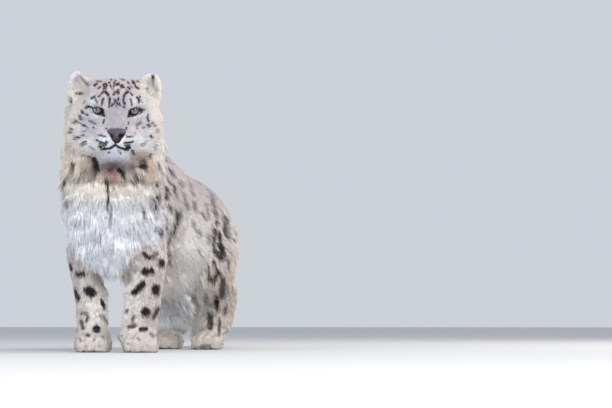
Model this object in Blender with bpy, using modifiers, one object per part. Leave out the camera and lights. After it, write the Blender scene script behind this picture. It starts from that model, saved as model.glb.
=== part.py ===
"""Snow leopard in winter coat, standing on four feet, its head turned to its left towards the viewer.

The frame is +Z up, the animal faces -Y and its left side is +X. Sizes are metres of the coat's outer surface.
The origin is below the centre of the whole animal, at the level of the soles.
"""

import math
import random

import bmesh
import bpy
from mathutils import Matrix, Vector
from mathutils.bvhtree import BVHTree

# The skin round all the forms: size of its cells, rounds of smoothing, and the share of faces kept
VOXEL = 0.0045
SOFTENING = 26
CORE_SHARE = 0.017
FACE_WEIGHT, PAW_WEIGHT = 0.6, 0.8
RING_SIDES = 28
GAP = 0.0003
FLOOR_SIZE = (2.0, 3.0, 0.2)

# Trunk
TORSO_ROWS = [  # y, z of the axis, half width, up, down
    (-0.070, 0.380, 0.090, 0.100, 0.110),
    (-0.030, 0.385, 0.118, 0.140, 0.140),
    (0.040, 0.385, 0.132, 0.166, 0.155),
    (0.110, 0.380, 0.134, 0.180, 0.170),
    (0.180, 0.372, 0.132, 0.182, 0.180),
    (0.260, 0.358, 0.131, 0.172, 0.183),
    (0.340, 0.346, 0.133, 0.160, 0.182),
    (0.430, 0.336, 0.136, 0.156, 0.176),
    (0.510, 0.330, 0.138, 0.156, 0.160),
    (0.580, 0.324, 0.134, 0.150, 0.138),
    (0.640, 0.316, 0.118, 0.132, 0.120),
    (0.685, 0.308, 0.094, 0.105, 0.095),
    (0.715, 0.302, 0.060, 0.066, 0.060),
]
NECK_ROWS = [  # x, z, half width, reach of the front, y of the back
    (0.000, 0.190, 0.035, 0.035, 0.060),
    (0.000, 0.215, 0.062, 0.062, 0.090),
    (0.000, 0.250, 0.092, 0.086, 0.110),
    (0.000, 0.295, 0.117, 0.108, 0.130),
    (-0.001, 0.345, 0.133, 0.124, 0.150),
    (-0.002, 0.395, 0.140, 0.131, 0.175),
    (-0.002, 0.445, 0.141, 0.128, 0.200),
    (-0.001, 0.490, 0.138, 0.118, 0.210),
    (0.000, 0.530, 0.135, 0.103, 0.190),
    (0.002, 0.570, 0.132, 0.084, 0.150),
    (0.004, 0.605, 0.126, 0.066, 0.118),
    (0.005, 0.635, 0.112, 0.050, 0.090),
    (0.006, 0.662, 0.082, 0.030, 0.060),
]

# Legs and feet: rows are x, y, z, half width, reach of the back, reach of the front
FORELEG_ROWS = [
    (0.050, 0.090, 0.500, 0.030, 0.045, 0.040),
    (0.070, 0.078, 0.450, 0.052, 0.082, 0.070),
    (0.084, 0.060, 0.385, 0.060, 0.098, 0.080),
    (0.088, 0.048, 0.320, 0.056, 0.088, 0.070),
    (0.083, 0.038, 0.255, 0.051, 0.068, 0.058),
    (0.076, 0.032, 0.190, 0.047, 0.056, 0.050),
    (0.070, 0.026, 0.130, 0.044, 0.050, 0.046),
    (0.064, 0.018, 0.080, 0.043, 0.047, 0.047),
    (0.059, 0.008, 0.030, 0.044, 0.046, 0.050),
]
FORELEG_LEAN = -0.008
LEFT_FORELEG_GIRTH = 1.12
FORE_PAW = {"x": 0.064, "offset": 0.008, "y": -0.014, "size": (0.049, 0.056, 0.058)}
THIGH_ROWS = [
    (0.045, 0.560, 0.440, 0.020, 0.045, 0.050),
    (0.070, 0.552, 0.395, 0.050, 0.090, 0.105),
    (0.088, 0.540, 0.335, 0.062, 0.112, 0.135),
    (0.098, 0.522, 0.275, 0.062, 0.112, 0.132),
    (0.102, 0.508, 0.220, 0.056, 0.102, 0.112),
    (0.102, 0.498, 0.175, 0.046, 0.082, 0.082),
    (0.100, 0.490, 0.145, 0.028, 0.050, 0.050),
]
SHANK_ROWS = [
    (0.101, 0.470, 0.250, 0.044, 0.050, 0.040),
    (0.102, 0.515, 0.215, 0.052, 0.062, 0.072),
    (0.100, 0.560, 0.180, 0.051, 0.056, 0.075),
    (0.095, 0.590, 0.145, 0.047, 0.050, 0.066),
    (0.091, 0.600, 0.115, 0.044, 0.048, 0.056),
]
FOOT_ROWS = [
    (0.094, 0.604, 0.190, 0.040, 0.044, 0.055),
    (0.091, 0.606, 0.140, 0.045, 0.046, 0.052),
    (0.085, 0.598, 0.090, 0.044, 0.044, 0.050),
    (0.078, 0.580, 0.045, 0.044, 0.044, 0.050),
]
HIND_PAW = {"x": 0.074, "y": 0.540, "size": (0.047, 0.058, 0.055)}
RIGHT_HIND_SET_BACK = 0.075
TOE_SPREADS = (-0.66, -0.24, 0.24, 0.66)
TAIL_ROWS = [  # x, y, z, radius
    (0.000, 0.600, 0.360, 0.060),
    (0.000, 0.660, 0.350, 0.055),
    (-0.002, 0.715, 0.320, 0.050),
    (-0.006, 0.758, 0.265, 0.052),
    (-0.014, 0.790, 0.200, 0.055),
    (-0.028, 0.828, 0.140, 0.058),
    (-0.046, 0.880, 0.094, 0.061),
    (-0.068, 0.950, 0.066, 0.063),
    (-0.094, 1.030, 0.060, 0.064),
    (-0.122, 1.110, 0.068, 0.063),
    (-0.148, 1.180, 0.088, 0.059),
    (-0.168, 1.235, 0.114, 0.049),
    (-0.182, 1.268, 0.134, 0.032),
    (-0.188, 1.282, 0.143, 0.012),
]

# Head, in its own coordinates: to its left, forward and up from the floor below the neck's pivot
HEAD_TURN = math.radians(23.5)
HEAD_MID = 0.008
HEAD_ROWS = [  # forward, top, bottom, half width, height of the widest place
    (-0.080, 0.640, 0.540, 0.060, 0.590),
    (-0.055, 0.672, 0.505, 0.085, 0.588),
    (-0.020, 0.692, 0.478, 0.103, 0.580),
    (0.015, 0.698, 0.464, 0.110, 0.570),
    (0.048, 0.694, 0.460, 0.110, 0.560),
    (0.076, 0.683, 0.460, 0.104, 0.556),
    (0.097, 0.665, 0.462, 0.094, 0.552),
    (0.113, 0.640, 0.464, 0.081, 0.549),
    (0.126, 0.614, 0.466, 0.066, 0.546),
    (0.140, 0.595, 0.468, 0.058, 0.541),
    (0.154, 0.580, 0.470, 0.053, 0.536),
    (0.167, 0.568, 0.476, 0.049, 0.532),
    (0.178, 0.557, 0.490, 0.043, 0.529),
    (0.186, 0.549, 0.504, 0.032, 0.527),
    (0.191, 0.541, 0.514, 0.017, 0.527),
]
BRIDGE_ROWS = [  # forward, top, half width
    (0.100, 0.652, 0.031),
    (0.126, 0.614, 0.029),
    (0.154, 0.583, 0.027),
    (0.180, 0.5560, 0.024),
]
BRIDGE_DEPTH = 0.020
CHIN = ((0.0, 0.147, 0.486), (0.035, 0.032, 0.023))
JAW = ((0.0, 0.080, 0.475), (0.062, 0.064, 0.034))
WHISKER_PAD = ((0.031, 0.158, 0.5235), (0.032, 0.031, 0.0245))
CHEEK = ((0.062, 0.052, 0.522), (0.047, 0.056, 0.052))
BROW = ((0.0463, 0.100, 0.6175), (0.034, 0.026, 0.015))
EAR_PLACE = (0.090, 0.008, 0.672)
EAR_OFFSET = -0.004
EAR_RADII = (0.026, 0.018, 0.048)
EAR_CUP = ((0.001, 0.017, 0.006), (0.0195, 0.021, 0.034))
EYE_RADIUS = 0.0168
EYE_PLACE = (0.0463, 0.1065, 0.6000)
LID_THICKNESS = 0.0030
EYE_OPENING = {"half_width": 0.0170, "above": 0.0062, "below": 0.0085, "dip": -0.0038, "depth": 0.03}
EYE_OPENING_STEPS = 5
MOUTH_HALF = [
    (0.0, 0.200, 0.5065),
    (0.010, 0.200, 0.5030),
    (0.020, 0.193, 0.5000),
    (0.030, 0.182, 0.4990),
    (0.038, 0.168, 0.5000),
    (0.044, 0.154, 0.5030),
]
PHILTRUM = [(0.0, 0.205, 0.520), (0.0, 0.205, 0.513), (0.0, 0.203, 0.5065)]
LIP_RADIUS, MOUTH_RADIUS, PHILTRUM_RADIUS = 0.0034, 0.0022, 0.0012
NOSE_BACK = 0.170
NOSE_DEPTH = 0.020
NOSE_ROWS = [  # height, half width, reach forward of its back
    (0.5120, 0.0040, 0.0200),
    (0.5160, 0.0085, 0.0245),
    (0.5220, 0.0145, 0.0265),
    (0.5290, 0.0205, 0.0270),
    (0.5360, 0.0240, 0.0255),
    (0.5420, 0.0240, 0.0225),
    (0.5465, 0.0190, 0.0180),
]
NOSTRIL = {"place": (0.0120, 0.1930, 0.5270), "tilt": math.radians(-25), "radii": (0.0052, 0.009, 0.0030)}

# Long locks: how far their tips stand over the core, and their sizes
BIB_DEPTH, BELLY_DEPTH, BREECH_DEPTH, TAIL_DEPTH = 0.017, 0.015, 0.013, 0.018
LOCK_SEED = 7
LOCK_THICKNESS = 0.011
LOCK_CURL = 0.16
LOCK_SWAY = 0.24
FLAT_LIFT = 0.002
OVERHANG = 0.015
LEAST_DEPTH = 0.50
LOCK_SHAPE = [  # share of length, of half width, of half thickness, of lift
    (0.00, 0.55, 0.80, -0.90),
    (0.34, 1.00, 1.00, -0.05),
    (0.72, 0.66, 0.75, 0.60),
    (1.00, 0.00, 0.00, 1.00),
]
LOCK_SECTION = ((-0.5, 0.0), (0.5, 0.0), (0.0, 0.8))  # a flat underside and a ridge
BIB_LOCK, BELLY_LOCK, BREECH_LOCK, TAIL_LOCK = (0.100, 0.044), (0.082, 0.042), (0.078, 0.040), (0.100, 0.046)
BIB_ROWS = [  # height, number of locks, degrees that they reach to each side
    (0.562, 9, 124),
    (0.512, 10, 122),
    (0.470, 10, 120),
    (0.428, 11, 118),
    (0.388, 10, 118),
    (0.348, 10, 112),
    (0.308, 7, 90),
    (0.272, 5, 56),
    (0.242, 2, 16),
]
BIB_PIVOT_Y = 0.02
BELLY_LEANS = (-62, -30, 0, 30, 62)
BELLY_START, BELLY_STEP, BELLY_COUNT, BELLY_PIVOT_Z = 0.175, 0.060, 5, 0.33
BREECH_HEIGHTS = (0.370, 0.325, 0.280, 0.235)
BREECH_PLACES = (0.050, 0.098)
TAIL_RINGS, TAIL_RING_LOCKS = 9, 5
TAIL_START, TAIL_REACH = 0.19, 0.73

# Bodies that the cuts leave, each told by the node's middle
SEEDS = {
    "chest": (0, 0.04, 0.34), "neck": (0, 0.02, 0.53), "torso": (0, 0.28, 0.35), "rump": (0, 0.55, 0.34),
    "foreleg_right": (-0.085, 0.03, 0.14), "foreleg_left": (0.07, 0.03, 0.14),
    "fore_paw_right": (-0.056, -0.015, 0.03), "fore_paw_left": (0.072, -0.015, 0.03),
    "hind_leg_right": (-0.10, 0.60, 0.14), "hind_leg_left": (0.10, 0.55, 0.14),
    "hind_paw_right": (-0.074, 0.64, 0.03), "hind_paw_left": (0.074, 0.565, 0.03),
    "tail_base": (-0.02, 0.80, 0.20), "tail_middle": (-0.08, 0.98, 0.06), "tail_tip": (-0.15, 1.18, 0.09),
}
HEAD_SEED = (0, 0.07, 0.58)
SMALLEST_BODY = 2e-6

FUR, PALE_FUR, LEATHER, EYE_GREEN = (0.62, 0.57, 0.52), (0.80, 0.78, 0.75), (0.20, 0.13, 0.14), (0.42, 0.50, 0.46)
COLOURS = {"chest": PALE_FUR, "nose": LEATHER, "eye_left": EYE_GREEN, "eye_right": EYE_GREEN}
FUR_ROUGHNESS = 0.9
ROUGHNESS = {"nose": 0.45, "eye_left": 0.05, "eye_right": 0.05}

X_AXIS = Vector((1, 0, 0))
Y_AXIS = Vector((0, 1, 0))
Z_AXIS = Vector((0, 0, 1))


def clear_scene():
    for obj in list(bpy.data.objects):
        bpy.data.objects.remove(obj, do_unlink=True)


def object_from(name, bm):
    """A new mesh object that takes over the bmesh."""
    bmesh.ops.recalc_face_normals(bm, faces=bm.faces)
    mesh = bpy.data.meshes.new(name)
    bm.to_mesh(mesh)
    bm.free()
    obj = bpy.data.objects.new(name, mesh)
    bpy.context.scene.collection.objects.link(obj)
    return obj


def place(x, y, z):
    return Matrix.Translation((x, y, z))


def ring_edges(verts):
    return list({edge for vert in verts for edge in vert.link_edges})


def add_rings(bm, rings):
    """Bridges rings of (centre, side vector, up vector, half width, above, below) into a closed tube."""
    loops = []
    for centre, side, up, half_width, above, below in rings:
        made = bmesh.ops.create_circle(bm, segments=RING_SIDES, radius=1.0)["verts"]
        for vert in made:
            x, y = vert.co.x, vert.co.y
            vert.co = Vector(centre) + side * (x * half_width) + up * (y * (above if y > 0 else below))
        loops.append(ring_edges(made))
    for first, second in zip(loops, loops[1:]):
        bmesh.ops.bridge_loops(bm, edges=first + second)
    for end in (loops[0], loops[-1]):
        bmesh.ops.contextual_create(bm, geom=end)


def add_loft(bm, stations, side, up):
    add_rings(bm, [(centre, side, up, width, above, below) for centre, width, above, below in stations])


def add_blob(bm, matrix, radii):
    """An ellipsoid."""
    made = bmesh.ops.create_uvsphere(bm, u_segments=32, v_segments=20, radius=1.0)["verts"]
    bmesh.ops.transform(bm, matrix=matrix @ Matrix.Diagonal((*radii, 1.0)), verts=made)


def add_trunk(bm):
    """The trunk along Y, then the chest's front, bib and neck as level rings up to the back of the head."""
    add_loft(bm, [((0, y, z), w, above, below) for y, z, w, above, below in TORSO_ROWS], X_AXIS, Z_AXIS)
    add_loft(bm, [((x, 0, z), w, back, front) for x, z, w, front, back in NECK_ROWS], X_AXIS, Y_AXIS)


def add_paw(bm, centre, turn, size):
    """A broad foot with four toes in front."""
    half_width, half_length, height = size
    spin = Matrix.Translation(centre) @ Matrix.Rotation(turn, 4, "Z")
    add_blob(bm, spin @ place(0, 0, height * 0.35), (half_width, half_length, height * 0.75))
    for spread in TOE_SPREADS:
        reach = half_length * (0.90 - 0.42 * spread * spread)
        toe = spin @ place(spread * half_width, -reach, height * 0.32)
        add_blob(bm, toe, (half_width * 0.29, half_length * 0.38, height * 0.50))


def add_foreleg(bm, side):
    girth = LEFT_FORELEG_GIRTH if side > 0 else 1.0
    stations = []
    for x, y, z, width, back, front in FORELEG_ROWS:
        stations.append(((side * x + FORELEG_LEAN, y, z), width * girth, back * girth, front * girth))
    add_loft(bm, stations, X_AXIS, Y_AXIS)
    centre = (side * FORE_PAW["x"] + FORE_PAW["offset"], FORE_PAW["y"], 0)
    add_paw(bm, centre, math.radians(18 + side * 4), FORE_PAW["size"])


def drop(z):
    """How much of a hind leg's set back applies at a height: none at the hip, all of it at the hock."""
    return min(max((0.40 - z) / 0.26, 0.0), 1.0)


def add_hind_leg(bm, side):
    back = 0.0 if side > 0 else RIGHT_HIND_SET_BACK
    for rows in (THIGH_ROWS, SHANK_ROWS, FOOT_ROWS):
        stations = [((side * x, y + back * drop(z), z), w, rear, front) for x, y, z, w, rear, front in rows]
        add_loft(bm, stations, X_AXIS, Y_AXIS)
    add_paw(bm, (side * HIND_PAW["x"], HIND_PAW["y"] + back, 0), math.radians(10), HIND_PAW["size"])


def add_tail(bm):
    points = [Vector(row[:3]) for row in TAIL_ROWS]
    rings = []
    for i, (point, row) in enumerate(zip(points, TAIL_ROWS)):
        along = (points[min(i + 1, len(points) - 1)] - points[max(i - 1, 0)]).normalized()
        side = along.cross(Z_AXIS).normalized()
        rings.append((point, side, side.cross(along), row[3], row[3], row[3]))
    add_rings(bm, rings)


def head_frame():
    """Turns head coordinates into the animal's."""
    turn = Matrix.Rotation(HEAD_TURN, 4, "Z")
    return turn @ Matrix.Diagonal((1, -1, 1, 1)) @ place(HEAD_MID, 0, 0)


def ear_centre(side):
    x, forward, height = EAR_PLACE
    return (side * x + EAR_OFFSET, forward, height)


def add_head(bm, frame):
    """The skull's loft, the flat bridge of the nose, chin, jaw, whisker pads, cheeks, brows and ears."""
    side_axis = (frame.to_3x3() @ X_AXIS).normalized()
    stations = []
    for forward, top, bottom, half_width, widest in HEAD_ROWS:
        stations.append((frame @ Vector((0, forward, widest)), half_width, top - widest, widest - bottom))
    add_loft(bm, stations, side_axis, Z_AXIS)
    stations = []
    for forward, top, half_width in BRIDGE_ROWS:
        stations.append((frame @ Vector((0, forward, top - BRIDGE_DEPTH)), half_width, BRIDGE_DEPTH, BRIDGE_DEPTH))
    add_loft(bm, stations, side_axis, Z_AXIS)
    for centre, radii in (CHIN, JAW):
        add_blob(bm, frame @ place(*centre), radii)
    for side in (-1, 1):
        for (x, forward, height), radii in (WHISKER_PAD, CHEEK, BROW):
            add_blob(bm, frame @ place(side * x, forward, height), radii)
        add_blob(bm, frame @ place(*ear_centre(side)), EAR_RADII)


def ramp(value, low, high):
    """A smooth step from 0 at low to 1 at high."""
    share = min(max((value - low) / (high - low), 0.0), 1.0)
    return share * share * (3 - 2 * share)


def lock_depth(point, to_head):
    """How far the tips of the long locks stand over the core at a place: none where the fur is short."""
    x, y, z = point
    local = to_head @ point
    face = ramp(local.y, 0.045, 0.075) * ramp(local.z, 0.440, 0.465)
    crown = ramp(z, 0.55, 0.61)
    leg = (1 - ramp(z, 0.23, 0.31)) * ramp(abs(x), 0.035, 0.065)
    bib = (1 - ramp(y, 0.12, 0.20)) * ramp(z, 0.15, 0.19) * (1 - face) * (1 - crown) * (1 - leg)
    low = (1 - ramp(z, 0.22, 0.29)) * (1 - ramp(abs(x), 0.11, 0.14))
    belly = low * ramp(y, 0.13, 0.19) * (1 - ramp(y, 0.42, 0.50))
    breech = ramp(y, 0.61, 0.66) * ramp(z, 0.13, 0.17) * (1 - ramp(z, 0.35, 0.42)) * (1 - ramp(y, 0.70, 0.74))
    tail = ramp(y, 0.74, 0.81)
    return max(BIB_DEPTH * bib, BELLY_DEPTH * belly, BREECH_DEPTH * breech, TAIL_DEPTH * tail)


def settle(obj):
    """Applies the object's modifiers."""
    graph = bpy.context.evaluated_depsgraph_get()
    mesh = bpy.data.meshes.new_from_object(obj.evaluated_get(graph))
    obj.modifiers.clear()
    old = obj.data
    obj.data = mesh
    bpy.data.meshes.remove(old)


def fused(name, bm, frame):
    """One skin round all the forms, softened where they meet, sunk below the long locks and then coarsened."""
    obj = object_from(name, bm)
    remesh = obj.modifiers.new("Fuse", "REMESH")
    remesh.mode = "VOXEL"
    remesh.voxel_size = VOXEL
    smooth = obj.modifiers.new("Soften", "SMOOTH")
    smooth.factor = 0.5
    smooth.iterations = SOFTENING
    settle(obj)
    to_head = frame.inverted()
    sunk = [vert.co - vert.normal * lock_depth(vert.co, to_head) for vert in obj.data.vertices]
    group = obj.vertex_groups.new(name="coarse")
    for vert, point in zip(obj.data.vertices, sunk):
        vert.co = point
        local = to_head @ point
        face = local.y > 0.03 and local.z > 0.46
        paw = point.z < 0.07 and point.y < 0.65
        group.add([vert.index], FACE_WEIGHT if face else PAW_WEIGHT if paw else 1.0, "REPLACE")
    coarsen = obj.modifiers.new("Coarsen", "DECIMATE")
    coarsen.ratio = CORE_SHARE
    coarsen.vertex_group = "coarse"
    coarsen.vertex_group_factor = 0.01
    settle(obj)
    return obj


def combine(obj, others, operation):
    """One Boolean of the object with a collection of closed meshes, which are then removed."""
    group = bpy.data.collections.new("operands")
    for other in others:
        group.objects.link(other)
    modifier = obj.modifiers.new("Combine", "BOOLEAN")
    modifier.operand_type = "COLLECTION"
    modifier.collection = group
    modifier.operation = operation
    modifier.solver = "MANIFOLD"
    settle(obj)
    for other in others:
        bpy.data.objects.remove(other, do_unlink=True)
    bpy.data.collections.remove(group)


def ellipsoid(name, matrix, radii, segments=18):
    bm = bmesh.new()
    made = bmesh.ops.create_uvsphere(bm, u_segments=segments, v_segments=segments // 2, radius=1.0)["verts"]
    bmesh.ops.transform(bm, matrix=matrix @ Matrix.Diagonal((*radii, 1.0)), verts=made)
    return object_from(name, bm)


def box(name, matrix, sizes):
    bm = bmesh.new()
    bmesh.ops.create_cube(bm, size=1.0, matrix=matrix @ Matrix.Diagonal((*sizes, 1.0)))
    return object_from(name, bm)


def lens(name, matrix, half_width, above, below, dip, depth):
    """An eye's opening: a prism, nearly straight along its top edge, with its inner corner lower by dip."""
    bm = bmesh.new()
    outline = []
    for i in range(EYE_OPENING_STEPS + 1):
        x = -1 + 2 * i / EYE_OPENING_STEPS
        outline.append((x, above * (1 - x * x) ** 0.5))
    for i in range(1, EYE_OPENING_STEPS):
        x = 1 - 2 * i / EYE_OPENING_STEPS
        outline.append((x, -below * (1 - x * x) ** 0.7))
    verts = [bm.verts.new(matrix @ Vector((x * half_width, 0.0, z - dip * x))) for x, z in outline]
    face = bm.faces.new(verts)
    made = bmesh.ops.extrude_face_region(bm, geom=[face])["geom"]
    shift = matrix.to_3x3() @ Vector((0, depth, 0))
    bmesh.ops.translate(bm, vec=shift, verts=[item for item in made if isinstance(item, bmesh.types.BMVert)])
    return object_from(name, bm)


def tube(name, frame, points, radius):
    """A thin rod along points given in head coordinates, as a mesh."""
    curve = bpy.data.curves.new(name, "CURVE")
    curve.dimensions = "3D"
    curve.bevel_depth = radius
    curve.bevel_resolution = 1
    curve.use_fill_caps = True
    spline = curve.splines.new("POLY")
    spline.points.add(len(points) - 1)
    for point, place_of in zip(spline.points, points):
        point.co = (*(frame @ Vector(place_of)), 1.0)
    obj = bpy.data.objects.new(name, curve)
    bpy.context.scene.collection.objects.link(obj)
    graph = bpy.context.evaluated_depsgraph_get()
    mesh = bpy.data.meshes.new_from_object(obj.evaluated_get(graph))
    bpy.data.objects.remove(obj, do_unlink=True)
    bm = bmesh.new()
    bm.from_mesh(mesh)
    bpy.data.meshes.remove(mesh)
    bmesh.ops.remove_doubles(bm, verts=bm.verts, dist=1e-5)
    return object_from(name, bm)


def eye_frame(frame, side):
    x, forward, height = EYE_PLACE
    return frame @ place(side * x, forward, height)


def on_skin(core, frame, points):
    """Head coordinates of the places on the core that lie nearest to the points."""
    back = frame.inverted()
    return [back @ core.closest_point_on_mesh(frame @ Vector(point))[1] for point in points]


def nose_form(name, frame, grow):
    """The nose leather as a stack of level rings, grown by a margin on every side."""
    bm = bmesh.new()
    side_axis = (frame.to_3x3() @ X_AXIS).normalized()
    forward_axis = (frame.to_3x3() @ Y_AXIS).normalized()
    rows = [(z, width + grow, reach + grow) for z, width, reach in NOSE_ROWS]
    bottom, top = NOSE_ROWS[0][0] - grow, NOSE_ROWS[-1][0] + grow
    rows = [(bottom, *rows[0][1:])] + rows[1:-1] + [(top, *rows[-1][1:])]
    stations = [(frame @ Vector((0, NOSE_BACK, z)), width, reach, NOSE_DEPTH + grow) for z, width, reach in rows]
    add_loft(bm, stations, side_axis, forward_axis)
    return object_from(name, bm)


def face_details(core, frame):
    """Lids, sockets, the line of the mouth with its lips, the split under the nose, and the ears' cups."""
    mouth = on_skin(core, frame, [(-x, t, z) for x, t, z in reversed(MOUTH_HALF)] + MOUTH_HALF[1:])
    philtrum = on_skin(core, frame, PHILTRUM)
    lid = EYE_RADIUS + LID_THICKNESS
    added = [tube("lips", frame, mouth, LIP_RADIUS)]
    added += [ellipsoid("lid", eye_frame(frame, side), (lid, lid, lid)) for side in (-1, 1)]
    combine(core, added, "UNION")
    ahead = Vector((0, MOUTH_RADIUS, 0))
    removed = [
        tube("mouth", frame, [point + ahead for point in mouth], MOUTH_RADIUS),
        tube("philtrum", frame, philtrum, PHILTRUM_RADIUS),
        nose_form("nose_pocket", frame, GAP),
    ]
    ball = EYE_RADIUS + GAP
    for side in (-1, 1):
        removed.append(ellipsoid("socket", eye_frame(frame, side), (ball, ball, ball)))
        opening = eye_frame(frame, side) @ Matrix.Diagonal((side, 1, 1, 1)) @ place(0.0005, 0.004, 0)
        removed.append(lens("opening", opening, **EYE_OPENING))
        (x, forward, height), radii = EAR_CUP
        cup = frame @ place(*ear_centre(side)) @ place(side * x, forward, height)
        removed.append(ellipsoid("cup", cup, radii))
    for cutter in removed:
        combine(core, [cutter], "DIFFERENCE")


def make_eyes(frame):
    for side, name in ((-1, "eye_right"), (1, "eye_left")):
        ellipsoid(name, eye_frame(frame, side), (EYE_RADIUS,) * 3).data.shade_smooth()


def make_nose(frame):
    """The nose leather with its nostrils."""
    nose = nose_form("nose", frame, 0.0)
    nostrils = []
    x, forward, height = NOSTRIL["place"]
    for side in (-1, 1):
        spot = frame @ place(side * x, forward, height) @ Matrix.Rotation(side * NOSTRIL["tilt"], 4, "Y")
        nostrils.append(ellipsoid("nostril", spot, NOSTRIL["radii"], 12))
    combine(nose, nostrils, "DIFFERENCE")


def plate_frame(middle, normal, along):
    """The place of a cutting sheet: its length runs along X and its thickness along Z."""
    normal = Vector(normal).normalized()
    along = (Vector(along) - normal * normal.dot(Vector(along))).normalized()
    basis = Matrix((along, normal.cross(along), normal)).transposed().to_4x4()
    return Matrix.Translation(Vector(middle)) @ basis


def cut_plates(frame):
    """Each thin cut as (place, length, width): head, neck, trunk, ears, legs, feet and tail."""
    turned = frame.to_3x3()
    cuts = [
        (frame @ Vector((0, 0.040, 0.5825)), turned @ Vector((0, 0.83, 0.56)), turned @ X_AXIS, 0.40, 0.345),
        ((0, 0.030, 0.480), (0, -0.43, 0.90), X_AXIS, 0.5, 0.50),
        ((0, 0.188, 0.375), (0, 1.0, -0.17), X_AXIS, 0.5, 0.52),
        ((0, 0.375, 0.34), Y_AXIS, X_AXIS, 0.5, 0.5),
        ((-0.004, 0.755, 0.285), (0, 0.90, -0.43), X_AXIS, 0.20, 0.17),
        ((-0.046, 0.880, 0.092), (-0.25, 1, -0.5), X_AXIS, 0.25, 0.25),
        ((-0.115, 1.085, 0.062), (-0.33, 1, 0.1), X_AXIS, 0.25, 0.25),
    ]
    for side in (-1, 1):
        x, forward, height = ear_centre(side)
        ear = frame @ Vector((x, forward, height - 0.006))
        back = 0.0 if side > 0 else 0.06
        cuts += [
            (ear, turned @ Vector((side * 0.54, 0, 0.84)), turned @ Y_AXIS, 0.06, 0.095),
            ((side * 0.087, 0.050, 0.224), (side * -0.70, 0, 0.72), Y_AXIS, 0.25, 0.24),
            ((side * 0.0625 - 0.008, 0.005, 0.066), (0, 0.25, 1), X_AXIS, 0.12, 0.16),
            ((side * 0.095, 0.522 + back, 0.200), (side * -0.74, 0, 0.67), Y_AXIS, 0.280, 0.23),
            ((side * 0.082, 0.575 + back, 0.075), (0, 0.30, 1), X_AXIS, 0.12, 0.18),
        ]
    return [(plate_frame(middle, normal, along), length, width) for middle, normal, along, length, width in cuts]


def crosses_cut(first, last, cuts):
    """Whether the way from first to last passes through a cut or ends close to one."""
    for place_of, length, width in cuts:
        back = place_of.inverted()
        start, end = back @ first, back @ last
        if start.z * end.z < 0 or min(abs(start.z), abs(end.z)) < 0.004:
            middle = (start + end) / 2
            if abs(middle.x) < length / 2 + 0.01 and abs(middle.y) < width / 2 + 0.01:
                return True
    return False


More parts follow.
